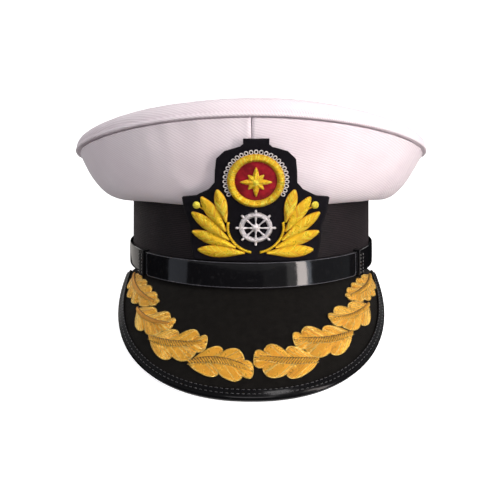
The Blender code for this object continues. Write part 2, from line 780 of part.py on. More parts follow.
def build_star(seat):
    """An eight-pointed compass star with a ridge along each ray."""
    bm = bmesh.new()
    corners = 2 * STAR_POINTS
    lower, upper = [], []
    for i in range(corners):
        radius = STAR_SHORT if i % 2 else STAR_LONG * (1.0 if i % 4 == 0 else 0.68)
        turn = math.tau * i / corners
        lower.append(bm.verts.new(medallion_face(radius, turn, seat)))
        upper.append(bm.verts.new(medallion_face(radius, turn, seat + 0.3 * STAR_THICKNESS)))
    foot = bm.verts.new(medallion_face(0.0, 0.0, seat))
    peak = bm.verts.new(medallion_face(0.0, 0.0, seat + STAR_THICKNESS))
    for i in range(corners):
        j = (i + 1) % corners
        bm.faces.new((lower[i], lower[j], upper[j], upper[i]))
        bm.faces.new((upper[i], upper[j], peak))
        bm.faces.new((lower[j], lower[i], foot))
    bmesh.ops.recalc_face_normals(bm, faces=bm.faces)
    add_object("medallion_star", mesh_from(bm, "medallion_star", 20.0), "gold_bullion")


def build_wheel():
    """A ship's wheel: rim, hub and crossing bars joined flat, then laid on the patch."""
    bpy.ops.mesh.primitive_torus_add(
        major_radius=WHEEL_RADIUS, minor_radius=WHEEL_RIM_RADIUS, major_segments=24, minor_segments=6
    )
    rim = bpy.context.object
    rim.data.transform(Matrix.Diagonal((1.0, 1.0, WHEEL_THICKNESS / 2 / WHEEL_RIM_RADIUS, 1.0)))
    cutters = []
    for i in range(WHEEL_BARS):
        bpy.ops.mesh.primitive_cube_add(size=1.0)
        bar = bpy.context.object
        bar.data.transform(Matrix.Diagonal((2 * WHEEL_REACH, WHEEL_BAR_WIDTH, WHEEL_THICKNESS * 0.72, 1.0)))
        bar.data.transform(Matrix.Rotation(math.pi * i / WHEEL_BARS, 4, "Z"))
        cutters.append(bar)
    bpy.ops.mesh.primitive_cylinder_add(vertices=16, radius=WHEEL_HUB_RADIUS, depth=WHEEL_THICKNESS * 1.15)
    cutters.append(bpy.context.object)
    for cutter in cutters:
        joined = rim.modifiers.new("Join", "BOOLEAN")
        joined.operation = "UNION"
        joined.object = cutter
    graph = bpy.context.evaluated_depsgraph_get()
    mesh = bpy.data.meshes.new_from_object(rim.evaluated_get(graph))
    for old in (rim, *cutters):
        bpy.data.objects.remove(old, do_unlink=True)
    lowest = min(vertex.co.z for vertex in mesh.vertices)
    for vertex in mesh.vertices:
        x, y, z = vertex.co
        vertex.co = patch_face(x, WHEEL_HEIGHT + y, GAP + z - lowest)
    mesh.materials.clear()
    mesh.shade_smooth()
    mesh.set_sharp_from_angle(angle=math.radians(40.0))
    add_object("ships_wheel", mesh, "silver_bullion")


def build_oak_leaves():
    for row in OAK:
        start, end = row["stalk_distance"], row["tip_distance"]
        middle = math.radians((row["stalk_deg"] + row["tip_deg"]) / 2)
        distance = (start + end) / 2
        turn = math.radians(row["tip_deg"] - row["stalk_deg"])
        per_radian = (peak_face(middle + 0.01, distance) - peak_face(middle - 0.01, distance)).length / 0.02
        run, drop = turn * per_radian, end - start
        length = math.hypot(run, drop)
        bow = math.copysign(1.0, run) * row["bow"]

        def place(along, across, height, row=row, run=run, drop=drop, length=length,
                  per_radian=per_radian, bow=bow):
            share = along / length
            across += 4 * bow * share * (1 - share)
            x = (along * run - across * drop) / length
            y = (along * drop + across * run) / length
            bearing = math.radians(row["stalk_deg"]) + x / per_radian
            return peak_face(bearing, row["stalk_distance"] + y, height)

        leaf(
            f"oak_leaf_{row['name']}", "gold_bullion", place, length,
            round(OAK_STEPS_PER_LOBE * row["lobes"]), oak_half_width(row["width"], row["lobes"]),
            OAK_THICKNESS, OAK_EDGE, OAK_VEIN_LEAN,
        )


# Resting pose


def corners_of(pieces):
    """Every corner of the finished pieces, in world space."""
    bpy.context.view_layer.update()
    graph = bpy.context.evaluated_depsgraph_get()
    found = []
    for piece in pieces:
        shown = piece.evaluated_get(graph)
        mesh = shown.to_mesh()
        found += [shown.matrix_world @ vertex.co for vertex in mesh.vertices]
        shown.to_mesh_clear()
    return found


def set_down():
    """Tips the cap back onto the band's rear edge and the peak, and centres it over the origin."""
    pieces = list(CAP_PIECES.objects)
    corners = corners_of(pieces)
    heel = band_face(math.pi, 0.0)
    tilt = max(math.atan2(heel.z - p.z, heel.y - p.y) for p in corners if p.y < 0)
    CAP.rotation_euler = (-tilt, 0.0, 0.0)
    corners = corners_of(pieces)
    low = [min(p[i] for p in corners) for i in range(3)]
    high = [max(p[i] for p in corners) for i in range(3)]
    CAP.location = (-(low[0] + high[0]) / 2, -(low[1] + high[1]) / 2, -low[2])
    bpy.context.view_layer.update()


clear_scene()
MATERIALS = make_materials()
CAP_PIECES = make_collection("peaked_sailor_cap")
CAP = bpy.data.objects.new("cap", None)
CAP_PIECES.objects.link(CAP)
build_head_band()
build_crown()
build_peak()
build_binding()
build_strap()
PATCH_LEAN = patch_lean()
build_patch()
build_medallion()
build_wheel()
build_laurel()
build_oak_leaves()
CAP_PIECES.objects.unlink(CAP)
bpy.context.scene.collection.objects.link(CAP)
set_down()
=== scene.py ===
"""Looks for the peaked sailor cap: fine cloth, felt, patent leather and bullion embroidery.

Every piece is built in the cap's own frame, as the part is: the head band stands on z = 0, the peak
points along -Y and the wearer's left is +X. One matrix, read from the record's rim mount, sets the
pieces down in the resting pose. Units are metres.
"""

import json
import math

import bpy
from mathutils import Matrix, Vector, noise


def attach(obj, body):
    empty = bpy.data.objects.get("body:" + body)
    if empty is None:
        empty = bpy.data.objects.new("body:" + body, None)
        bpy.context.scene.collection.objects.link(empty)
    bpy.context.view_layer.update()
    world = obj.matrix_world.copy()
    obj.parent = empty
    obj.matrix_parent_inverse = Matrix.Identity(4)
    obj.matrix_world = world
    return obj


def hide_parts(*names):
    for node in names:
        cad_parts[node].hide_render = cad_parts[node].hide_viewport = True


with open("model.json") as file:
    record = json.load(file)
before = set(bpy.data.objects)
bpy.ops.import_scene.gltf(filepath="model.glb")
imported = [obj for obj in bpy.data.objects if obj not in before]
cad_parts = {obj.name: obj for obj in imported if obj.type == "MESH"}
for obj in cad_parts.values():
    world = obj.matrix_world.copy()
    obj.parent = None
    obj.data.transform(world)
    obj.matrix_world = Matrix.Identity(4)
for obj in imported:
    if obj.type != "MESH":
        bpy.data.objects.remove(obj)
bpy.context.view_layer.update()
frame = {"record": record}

MM = 0.001
UP = Vector((0.0, 0.0, 1.0))
GAP = 0.3 * MM
STEP = math.radians(6.0)

# Head band
HEAD_HALF_WIDTH = 83.2 * MM
HEAD_HALF_DEPTH = 99.0 * MM
BAND_WALL = 3.0 * MM
BAND_HEIGHT = 49.0 * MM
BAND_FLARE = 1.7 * MM
BAND_EDGE = 0.5 * MM

# Crown
CLOTH = 2.0 * MM
SEAM_HALF_WIDTH = 122.5 * MM
SEAM_FRONT_REACH = 125.5 * MM
SEAM_BACK_REACH = 129.0 * MM
SEAM_RISE_FRONT = 50.0 * MM
SEAM_RISE_SIDE = 25.0 * MM
SEAM_RISE_BACK = 18.0 * MM
ROLL_RADIUS_FRONT = 6.2 * MM
ROLL_RADIUS_SIDE = 3.2 * MM
ROLL_RADIUS_BACK = 5.0 * MM
DOME_RISE = 4.0 * MM
WELT_RADIUS = 1.3 * MM
WELT_PROUD = 0.5 * MM
SIDE_BENDS = {
    "front": {"leave_deg": 26.0, "leave_share": 0.24, "meet_deg": 76.0, "meet_share": 0.30},
    "side": {"leave_deg": -40.0, "leave_share": 0.50, "meet_deg": 62.0, "meet_share": 0.26},
    "back": {"leave_deg": -26.0, "leave_share": 0.48, "meet_deg": 58.0, "meet_share": 0.28},
}

# Folds in the crown's cloth
SIDE_ROWS = 44
SIDE_COLUMNS = 130
PUCKER_DEPTH = 0.45 * MM
PUCKER_PITCH = 9.0 * MM
DENT_DEPTH = 1.1 * MM
DENT_PITCH = 34.0 * MM
GROOVE_DEPTH = 1.0 * MM
GROOVE_HALF_WIDTH = 0.8 * MM
RIDGE_OFFSET = 2.2 * MM
RIDGE_HALF_WIDTH = 1.5 * MM
RIDGE_RISE_LEFT = 0.05 * MM
RIDGE_RISE_RIGHT = 0.3 * MM
FOLD_FADE = 6.0 * MM
PUCKER_FADE_SHARE = 0.16
TOP_PUCKER_DEPTH = 0.35 * MM
TOP_PUCKER_PITCH = 7.0 * MM
TOP_PUCKER_REACH = 14.0 * MM
TOP_SLACK_DEPTH = 1.0 * MM
TOP_SLACK_PITCH = 60.0 * MM
TOP_SLACK_START = 30.0 * MM
TOP_COLUMNS = 480
LAP_TURNS_DEG = (0.0, 25.0, 50.0)
LAP_SINK = 0.8 * MM

# Peak and binding
PEAK_LENGTH = 68.4 * MM
PEAK_SPREAD_DEG = 82.5
PEAK_FULLNESS = 2.39
PEAK_TAPER = 2.6
PEAK_CORNER = 7.0 * MM
PEAK_SLOPE_FRONT_DEG = 43.0
PEAK_SLOPE_SIDE_DEG = 38.0
PEAK_BULGE = 2.0 * MM
PEAK_THICKNESS = 2.4 * MM
PEAK_SEAT = 0.4 * MM
PEAK_COLUMNS = 140
PEAK_ROWS = 26
BINDING_WIDTH = 4.6 * MM
BINDING_THICKNESS = 1.0 * MM
BINDING_GAP = 0.4 * MM
BINDING_ROUND = 1.7 * MM
BINDING_STITCH_INSETS = (0.6 * MM, 2.9 * MM)
BINDING_STITCH_PITCH = 2.9 * MM
BINDING_STITCH_LENGTH = 1.6 * MM
STITCH_RADIUS = 0.22 * MM

# Chin strap, slides and buttons
STRAP_WIDTH = 15.2 * MM
STRAP_THICKNESS = 1.2 * MM
STRAP_ROUND = 0.45 * MM
STRAP_PILLOW = 0.12 * MM
SLIDE_BACK = 0.5 * MM
SLIDE_FRONT = 1.0 * MM
SLIDE_EDGE = 0.7 * MM
STRAP_FOOT = PEAK_SEAT + 2 * GAP + SLIDE_EDGE
SLIDE_LENGTH = 6.4 * MM
SLIDE_BEVEL = 0.28 * MM
SLIDE_STEPS = (8, 9)
SLIDE_STITCH_OFFSET = 1.9 * MM
SLIDE_STITCH_PITCH = 2.3 * MM
SLIDE_STITCH_LENGTH = 1.3 * MM
STRAP_OVER_DEG = 54.0
STRAP_UNDER_DEG = 114.0
STRAP_LINE_DEG = 47.2
STRAP_LINE_RADIUS = 0.24 * MM
STRAP_LINE_CORNER = 1.8 * MM
BUTTON_DEG = 108.0
BUTTON_RADIUS = 6.2 * MM
BUTTON_DOME = 2.4 * MM
BUTTON_EDGE = 1.2 * MM
BUTTON_ROPE_RADIUS = 0.55 * MM
BUTTON_ROPE_PITCH = 1.6 * MM

# Badge patch
PATCH_HEIGHT = 74.0 * MM
PATCH_HALF_WIDTH = 44.0 * MM
PATCH_THICKNESS = 1.8 * MM
PATCH_RADIUS = 100.0 * MM
PATCH_UPRIGHT = 5.0 * MM
PATCH_BEND_RADIUS = 30.0 * MM
PATCH_SHIFT = 2.5 * MM
PATCH_LUMP_DEPTH = 0.12 * MM
PATCH_LUMP_PITCH = 1 / 300
PATCH_OUTLINE = [
    {"height": 0.000, "half_width": 0.87},
    {"height": 0.130, "half_width": 0.91},
    {"height": 0.280, "half_width": 0.91},
    {"height": 0.400, "half_width": 0.97},
    {"height": 0.530, "half_width": 1.00},
    {"height": 0.545, "half_width": 0.80},
    {"height": 0.600, "half_width": 0.62},
    {"height": 0.660, "half_width": 0.53},
    {"height": 0.760, "half_width": 0.52},
    {"height": 0.850, "half_width": 0.50},
    {"height": 0.905, "half_width": 0.40},
    {"height": 0.940, "half_width": 0.20},
    {"height": 0.960, "half_width": 0.16},
    {"height": 1.000, "half_width": 0.16},
]

# Badge embroidery
MEDALLION_HEIGHT = 50.2 * MM
RING_RADIUS = 13.8 * MM
RING_HALF_WIDTH = 1.9 * MM
RING_THICKNESS = 2.4 * MM
RING_CORD_SPACING = 0.72 * MM
RING_CORD_RADIUS = 0.38 * MM
RING_SKEW = 0.06
RING_ROPE_RADIUS = 0.42 * MM
RING_ROPE_PITCH = 1.5 * MM
CUSHION_THICKNESS = 1.2 * MM
STAR_LONG = 8.6 * MM
STAR_SHORT_SHARE = 0.68
STAR_HALF_WIDTH = 1.5 * MM
STAR_THICKNESS = 1.2 * MM
STAR_POINTS = 8
STAR_EDGE = 0.4 * MM
STAR_SLANT = 1.0 * MM
STAR_CORD_RADIUS = 0.24 * MM
STAR_CORD_SPACING = 0.42 * MM
STAR_KNOT_RADIUS = 0.3 * MM
PEARL_RADIUS = 1.1 * MM
PEARL_THREAD = 0.3 * MM
PEARL_ARC_DEG = 118.0
PEARL_COUNT = 27
WHEEL_HEIGHT = 21.2 * MM
WHEEL_RADIUS = 8.2 * MM
WHEEL_RIM_HALF_WIDTH = 1.2 * MM
WHEEL_REACH = 11.6 * MM
WHEEL_HUB_RADIUS = 2.6 * MM
WHEEL_THICKNESS = 1.5 * MM
WHEEL_SPOKES = 8
WHEEL_CORD_SPACING = 0.58 * MM
WHEEL_CORD_RADIUS = 0.3 * MM
WHEEL_SKEW = 0.12
WHEEL_HUB_CORD_RADIUS = 0.34 * MM

# A turned spoke and its handle: shares of the reach, each with its share of the thickness
WHEEL_SPINDLE_RADIUS = 0.85 * MM
WHEEL_SPINDLE = [
    (0.14, 0.55), (0.22, 0.75), (0.30, 0.45), (0.42, 0.55), (0.52, 0.8), (0.60, 0.85),
    (0.76, 0.85), (0.80, 0.5), (0.86, 0.85), (0.93, 0.95), (0.98, 0.75), (1.0, 0.35),
]

# Laurel sprays, from the lowest leaf up; the other side mirrors them
LAUREL = [
    {"stalk_deg": -68.0, "heading_deg": 2.0, "length": 28.0 * MM, "width": 6.2 * MM},
    {"stalk_deg": -48.0, "heading_deg": 20.0, "length": 27.8 * MM, "width": 6.6 * MM},
    {"stalk_deg": -28.0, "heading_deg": 38.0, "length": 28.0 * MM, "width": 6.6 * MM},
    {"stalk_deg": -8.0, "heading_deg": 57.0, "length": 25.5 * MM, "width": 6.5 * MM},
    {"stalk_deg": 12.0, "heading_deg": 77.0, "length": 20.5 * MM, "width": 6.0 * MM},
]
LAUREL_THICKNESS = 1.9 * MM
LAUREL_EDGE = 0.7 * MM
LAUREL_SLANT = 4.2 * MM
LAUREL_SPREAD = 0.3 * MM
STEM_WIDTH = 1.7 * MM
STEM_RADIUS = 16.0 * MM
STEM_PITCH = 2.8 * MM
STEM_FROM_DEG = -80.0
STEM_TO_DEG = 12.0
BERRY_OUT = 34.3 * MM
BERRY_RISE = 14.0 * MM
BERRY_RADIUS = 1.9 * MM
BERRY_CORD_RADIUS = 0.4 * MM
BERRY_STALK_SHARE = 0.72
BERRY_STALK_RADIUS = 0.45 * MM
BERRY_STALK_PITCH = 1.6 * MM

# Oak leaves on the peak
OAK = [
    {"name": "right_1", "stalk_deg": -58.5, "stalk_distance": 3.5 * MM, "tip_deg": -33.5,
     "tip_distance": 17.5 * MM, "width": 16.5 * MM, "bow": 2.5 * MM, "lobes": 4.5},
    {"name": "right_2", "stalk_deg": -39.5, "stalk_distance": 24.5 * MM, "tip_deg": -23.5,
     "tip_distance": 29.5 * MM, "width": 18.5 * MM, "bow": 3.0 * MM, "lobes": 2.5},
    {"name": "right_3", "stalk_deg": -28.5, "stalk_distance": 40.5 * MM, "tip_deg": -12.0,
     "tip_distance": 38.5 * MM, "width": 21.0 * MM, "bow": 2.5 * MM, "lobes": 2.5},
    {"name": "right_4", "stalk_deg": -15.0, "stalk_distance": 51.5 * MM, "tip_deg": 0.0,
     "tip_distance": 54.0 * MM, "width": 20.0 * MM, "bow": -3.5 * MM, "lobes": 2.5},
    {"name": "left_1", "stalk_deg": 59.0, "stalk_distance": 5.0 * MM, "tip_deg": 36.0,
     "tip_distance": 14.0 * MM, "width": 16.5 * MM, "bow": 2.0 * MM, "lobes": 4.5},
    {"name": "left_2", "stalk_deg": 42.5, "stalk_distance": 22.5 * MM, "tip_deg": 24.5,
     "tip_distance": 26.5 * MM, "width": 19.0 * MM, "bow": 2.5 * MM, "lobes": 2.5},
    {"name": "left_3", "stalk_deg": 29.0, "stalk_distance": 37.5 * MM, "tip_deg": 11.5,
     "tip_distance": 36.5 * MM, "width": 21.0 * MM, "bow": 2.5 * MM, "lobes": 2.5},
    {"name": "left_4", "stalk_deg": 16.0, "stalk_distance": 50.5 * MM, "tip_deg": 1.0,
     "tip_distance": 46.5 * MM, "width": 21.0 * MM, "bow": 1.0 * MM, "lobes": 2.5},
]
OAK_THICKNESS = 1.9 * MM
OAK_EDGE = 0.9 * MM
OAK_NOTCH_SHARE = 0.42
OAK_END_SHARE = 0.14
OAK_VEIN_LEAN = 0.6
OAK_SLANT = 4.0 * MM
OAK_DIP = 0.9 * MM
SMOOTH_MIDRIBS = ("right_1", "right_2")
SMOOTH_MIDRIB_HALF_WIDTH = 1.2 * MM
BROAD_MIDRIBS = ("right_3", "right_4", "left_3", "left_4")
BROAD_MIDRIB_HALF_WIDTH = 1.7 * MM
SLIM_MIDRIB_HALF_WIDTH = 1.25 * MM

# Embroidery threads
CORD_RADIUS = 0.30 * MM
CORD_SPACING = 0.72 * MM
EDGE_CORD_RADIUS = 0.36 * MM
MIDRIB_CORD_RADIUS = 0.44 * MM
MIDRIB_SPACING = 1.55 * MM
MIDRIB_SLANT = 3.0 * MM
MIDRIB_STRIP_END = 0.97
MIDRIB_STRIP_ACROSS = (-1.1, -0.5, 0.0, 0.5, 1.1)
MIDRIB_BORDER_END = 0.94
MIDRIB_BORDER_OUT = 1.12
BULLION_PITCH = 0.34 * MM
PLY_PITCH = 0.6 * MM

# Weaves
TWILL_PITCH = 1.35 * MM
RIB_PITCH = 1.15 * MM

# Camera, in the cap's frame
CAMERA_PLACE = (-0.8 * MM, -450.0 * MM, 85.2 * MM)
CAMERA_DOWN_DEG = 10.03
CAMERA_LENS_MM = 43.0

# Light: each softbox by its bearing and rise as seen from the cap, its distance, size and power
SOFTBOXES = [
    {"name": "key", "bearing_deg": 48.0, "rise_deg": 38.0, "distance": 1.7, "width": 0.4,
     "height": 0.4, "watts": 1.5, "colour": (1.0, 0.98, 0.98)},
    {"name": "fill", "bearing_deg": 0.0, "rise_deg": 32.0, "distance": 1.8, "width": 0.9,
     "height": 0.9, "watts": 12.0, "colour": (1.0, 0.96, 0.98)},
    {"name": "top", "bearing_deg": 28.0, "rise_deg": 62.0, "distance": 1.7, "width": 0.32,
     "height": 0.32, "watts": 4.0, "colour": (1.0, 0.97, 0.98)},
]

# Upright panels in a ring round the cap, which show as streaks in the patent leather: where each
# starts and ends, its brightness, and its top where that isn't PANEL_TOP
PANELS = [
    {"name": "window", "from_deg": 40.0, "to_deg": 49.0, "glow": 14.0, "top": 0.70,
     "colour": (1.0, 0.90, 0.86)},
    {"name": "window_side", "from_deg": 49.0, "to_deg": 53.0, "glow": 3.0, "colour": (0.8, 0.88, 1.0)},
    {"name": "window_edge", "from_deg": 31.0, "to_deg": 40.0, "glow": 0.9, "colour": (1.0, 0.97, 0.94)},
    {"name": "wall", "from_deg": 10.0, "to_deg": 31.0, "glow": 0.12, "colour": (1.0, 1.0, 0.95)},
    {"name": "right_wall", "from_deg": 53.0, "to_deg": 95.0, "glow": 0.12, "colour": (0.85, 0.95, 1.0)},
    {"name": "left_panel", "from_deg": -76.0, "to_deg": -57.0, "glow": 0.6, "colour": (0.82, 0.87, 1.0)},
    {"name": "far_left", "from_deg": -150.0, "to_deg": -112.0, "glow": 0.5, "colour": (1.0, 0.95, 0.9)},
]
LIGHT_AIM = 0.08
PANEL_RADIUS = 0.62
PANEL_FOOT = -0.18
PANEL_TOP = 0.26
WORLD_FRONT = 0.25
FLOOR_GLOW = 0.75
FLOOR_HALF_WIDTH = 30.0
FLAG_RADIUS = 0.7
FLAG_HEIGHT = 0.10
SCREEN_STEPS = 60
BACKDROP_RADIUS = 3.4
BACKDROP_DROP = 0.3
BACKDROP_HEIGHT = 3.0
BACKDROP_GLOW = 1.1
FLAG_TONE = (0.01, 0.01, 0.012)


# Resting pose


def resting_pose():
    """The matrix from the cap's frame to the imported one, from the rim mount's place and axis."""
    mount = next(m for m in frame["record"]["mounts"] if m["name"] == "band_rim")
    _, down_y, down_z = mount["axis"]
    tilt = math.atan2(-down_y, -down_z)
    rim = HEAD_HALF_DEPTH + BAND_FLARE + BAND_WALL / 2
    turned = Matrix.Rotation(-tilt, 4, "X")
    return Matrix.Translation(Vector(mount["pos_m"]) - turned @ Vector((0.0, rim, 0.0))) @ turned


CAP_TO_FRAME = resting_pose()


# Node materials


class Nodes:
    """A node tree, with a short way to add each kind of node."""

    def __init__(self, tree):
        self.tree = tree

    def wire(self, value, socket):
        if isinstance(value, bpy.types.NodeSocket):
            self.tree.links.new(value, socket)
        else:
            socket.default_value = value

    def add(self, kind, *values, **settings):
        """A node with its first inputs linked or set in order; gives its first output."""
        made = self.tree.nodes.new(kind)
        for setting, value in settings.items():
            setattr(made, setting, value)
        for value, socket in zip(values, made.inputs):
            self.wire(value, socket)
        return made.outputs[0]

    def plus(self, a, b):
        return self.add("ShaderNodeMath", a, b, operation="ADD")

    def times(self, a, b):
        return self.add("ShaderNodeMath", a, b, operation="MULTIPLY")

    def split(self, place):
        made = self.tree.nodes.new("ShaderNodeSeparateXYZ")
        self.wire(place, made.inputs[0])
        return made.outputs

    def unrolled(self):
        """The two directions of a piece's unrolled surface, in metres."""
        return self.split(self.add("ShaderNodeUVMap", uv_map="UVMap"))[:2]

    def place(self):
        return self.tree.nodes.new("ShaderNodeTexCoord").outputs["Object"]

    def cloudy(self, place, scale, detail=3.0, rough=0.55):
        return self.add("ShaderNodeTexNoise", place, 0.0, scale, detail, rough)

    def ridges(self, along, pitch):
        """A wave from 0 to 1 across a distance, one ridge to each pitch."""
        wave = self.add("ShaderNodeMath", self.times(along, math.tau / pitch), operation="SINE")
        return self.plus(self.times(wave, 0.5), 0.5)

    def ranged(self, value, low, high, to_low=0.0, to_high=1.0):
        return self.add("ShaderNodeMapRange", value, low, high, to_low, to_high)

    def tinted(self, factor, a, b):
        made = self.tree.nodes.new("ShaderNodeMix")
        made.data_type = "RGBA"
        self.wire(factor, made.inputs[0])
        for colour, socket in ((a, made.inputs[6]), (b, made.inputs[7])):
            self.wire((*colour, 1.0) if isinstance(colour, tuple) else colour, socket)
        return made.outputs[2]

    def relief(self, height, depth, strength, under=None):
        made = self.tree.nodes.new("ShaderNodeBump")
        made.inputs["Strength"].default_value = strength
        made.inputs["Distance"].default_value = depth
        self.wire(height, made.inputs["Height"])
        if under is not None:
            self.wire(under, made.inputs["Normal"])
        return made.outputs[0]


class Look(Nodes):
    """A Principled material; its fixed values are set on the shader's own sockets."""

    def __init__(self, name, **sockets):
        self.material = bpy.data.materials.new(name)
        self.material.use_nodes = True
        super().__init__(self.material.node_tree)
        self.inputs = self.tree.nodes["Principled BSDF"].inputs
        for socket, value in sockets.items():
            self.inputs[socket.replace("_", " ")].default_value = value

    def finish(self, colour, rough, bump):
        for value, socket in ((colour, "Base Color"), (rough, "Roughness"), (bump, "Normal")):
            self.wire(value, self.inputs[socket])
        return self.material


def twill_material(name, degrees, v_size=1.0):
    """White cotton twill: diagonal ridges, crossing threads, slubs and a faint mottled tint."""
    look = Look(name, Sheen_Weight=0.08, Sheen_Roughness=0.5, Specular_IOR_Level=0.15)
    u, v = look.unrolled()
    v = look.times(v, v_size)
    turn = math.radians(degrees)
    across = look.plus(look.times(u, math.sin(turn)), look.times(v, math.cos(turn)))
    along = look.plus(look.times(u, math.cos(turn)), look.times(v, -math.sin(turn)))
    stretched = look.add("ShaderNodeCombineXYZ", across, look.times(along, 0.35))
    slub = look.times(look.cloudy(stretched, 420.0, 2.0), 0.45 * MM)
    line = look.ridges(look.plus(across, slub), TWILL_PITCH)
    thread = look.ridges(along, TWILL_PITCH * 0.6)
    fuzz = look.cloudy(look.place(), 2600.0)
    weave = look.plus(look.times(line, 0.75), look.times(thread, 0.25))
    mottled = look.ranged(look.cloudy(look.place(), 26.0, 4.0), 0.35, 0.7)
    cloth = look.tinted(mottled, (0.80, 0.71, 0.755), (0.85, 0.775, 0.815))
    # The valleys between the twill's ridges are painted darker: painted shade.
    shade = look.ranged(line, 0.0, 0.6, 0.35, 0.0)
    return look.finish(
        look.tinted(shade, cloth, (0.60, 0.53, 0.57)),
        look.ranged(fuzz, 0.2, 0.8, 0.72, 0.92),
        look.relief(look.plus(weave, look.times(fuzz, 0.35)), 0.16 * MM, 0.8),
    )


def ribbed_material(name):
    """Black ribbed braid: level ribs, fine crossing threads and a faint brownish bloom."""
    look = Look(
        name, Sheen_Weight=0.05, Sheen_Roughness=0.35, Sheen_Tint=(0.8, 0.6, 0.65, 1.0),
        Specular_IOR_Level=0.2,
    )
    u, v = look.unrolled()
    stretched = look.add("ShaderNodeCombineXYZ", look.times(u, 0.2), v)
    uneven = look.times(look.cloudy(stretched, 300.0, 2.0), 0.35 * MM)
    rib = look.ridges(look.plus(v, uneven), RIB_PITCH)
    thread = look.ridges(look.plus(u, look.times(v, 0.35)), RIB_PITCH * 0.45)
    weave = look.plus(look.times(rib, 0.8), look.times(thread, 0.2))
    bloom = look.ranged(look.cloudy(look.place(), 60.0, 4.0), 0.35, 0.7)
    crest = look.tinted(bloom, (0.013, 0.010, 0.0115), (0.023, 0.0155, 0.018))
    # The valleys between the ribs are painted near black: painted shade; the crests keep the braid's own
    # tone.
    return look.finish(
        look.tinted(rib, (0.005, 0.004, 0.005), crest),
        look.ranged(thread, 0.0, 1.0, 0.55, 0.8),
        look.relief(weave, 0.22 * MM, 0.9),
    )


def felt_material(name, dark, light):
    """Pressed felt: crossing fibres, small lumps and lint that catches the light."""
    look = Look(
        name, Sheen_Weight=0.04, Sheen_Roughness=0.45, Sheen_Tint=(0.9, 0.85, 0.8, 1.0),
        Specular_IOR_Level=0.1,
    )
    place = look.place()
    fibre = look.cloudy(place, 2200.0, 6.0, 0.75)
    nap = look.plus(look.times(fibre, 0.6), look.times(look.cloudy(place, 240.0, 4.0), 0.4))
    lint = look.ranged(look.cloudy(place, 900.0, 5.0, 0.8), 0.62, 0.78)
    body = look.tinted(look.ranged(nap, 0.35, 0.65), dark, light)
    return look.finish(
        look.tinted(lint, body, tuple(2.6 * c for c in light)),
        look.ranged(fibre, 0.2, 0.8, 0.85, 1.0),
        look.relief(nap, 0.5 * MM, 0.8),
    )


def patent_material(name, tone=0.0035, rough=0.09, gloss=1.0):
    """Patent leather: a black lacquer that runs in slow waves over fine creases and dust."""
    look = Look(name, Specular_IOR_Level=0.3 * gloss, Coat_Weight=0.25 * gloss, Coat_Roughness=0.05)
    place = look.place()
    grain = look.cloudy(place, 900.0, 4.0, 0.7)
    scuff = look.ranged(look.cloudy(place, 320.0, 6.0, 0.75), 0.56, 0.72)
    base = look.tinted(grain, (tone, tone, tone * 1.2), (tone * 2, tone * 2, tone * 2.3))
    slow = look.relief(look.cloudy(place, 75.0), 0.30 * MM, 0.35)
    return look.finish(
        look.tinted(scuff, base, (tone * 4, tone * 4, tone * 4.4)),
        look.ranged(scuff, 0.0, 1.0, rough, rough + 0.14),
        look.relief(grain, 0.02 * MM, 0.5, slow),
    )


def bullion_material(name, dark, light, metallic, rough):
    """Metal thread: a tight coil wound along each cord, its colour a little uneven."""
    look = Look(name, Metallic=metallic, Sheen_Weight=0.05)
    u, v = look.unrolled()
    coil = look.ridges(look.plus(look.times(u, 1.0 / BULLION_PITCH), v), 1.0)
    patchy = look.ranged(look.cloudy(look.place(), 260.0, 4.0), 0.3, 0.7)
    worn = look.tinted(patchy, dark, light)
    # The grooves between the coil's turns are painted darker: painted shade.
    return look.finish(
        look.tinted(look.ranged(coil, 0.0, 0.7), tuple(0.6 * c for c in dark), worn),
        look.ranged(patchy, 0.0, 1.0, rough + 0.1, rough),
        look.relief(coil, 0.10 * MM, 0.7),
    )


def velvet_material(name):
    """Short velvet pile, brushed this way and that."""
    look = Look(
        name, Sheen_Weight=0.5, Sheen_Roughness=0.35, Sheen_Tint=(1.0, 0.25, 0.3, 1.0),
        Specular_IOR_Level=0.2,
    )
    pile = look.cloudy(look.place(), 1800.0, 5.0, 0.7)
    brushed = look.ranged(look.cloudy(look.place(), 220.0), 0.35, 0.65)
    return look.finish(
        look.tinted(brushed, (0.17, 0.004, 0.010), (0.36, 0.010, 0.022)),
        look.ranged(pile, 0.2, 0.8, 0.75, 1.0),
        look.relief(pile, 0.4 * MM, 0.8),
    )


def thread_material(name, dark, light, rough=0.7):
    """Sewing thread: two plies twisted together, with a little fuzz."""
    look = Look(name, Sheen_Weight=0.05, Specular_IOR_Level=0.5)
    u, v = look.unrolled()
    twist = look.ridges(look.plus(look.times(u, 1.0 / PLY_PITCH), v), 1.0)
    fuzz = look.cloudy(look.place(), 3000.0)
    # The grooves between the twisted plies are painted darker: painted shade.
    return look.finish(
        look.tinted(look.times(twist, look.ranged(fuzz, 0.2, 0.8, 0.6, 1.0)), dark, light),
        look.ranged(fuzz, 0.2, 0.8, rough - 0.12, rough + 0.12),
        look.relief(twist, 0.08 * MM, 0.8),
    )


def gilt_material(name):
    """Gilt metal, rubbed bright in patches and duller between them."""
    look = Look(name, Metallic=1.0)
    place = look.place()
    worn = look.ranged(look.cloudy(place, 300.0, 5.0), 0.35, 0.7)
    return look.finish(
        look.tinted(worn, (0.62, 0.40, 0.13), (0.86, 0.62, 0.24)),
        look.ranged(worn, 0.0, 1.0, 0.34, 0.16),
        look.relief(look.cloudy(place, 2400.0, 4.0), 0.03 * MM, 0.4),
    )


def floor_material(name, glow):
    """A pale matt sweep with a faint tooth, lit a little from within so that it stays white."""
    look = Look(
        name, Specular_IOR_Level=0.1, Emission_Color=(1.0, 1.0, 1.0, 1.0), Emission_Strength=glow
    )
    tooth = look.cloudy(look.place(), 120.0)
    cover = look.tinted(tooth, (0.84, 0.84, 0.85), (0.87, 0.87, 0.875))
    return look.finish(cover, 0.9, look.relief(tooth, 0.05 * MM, 0.2))


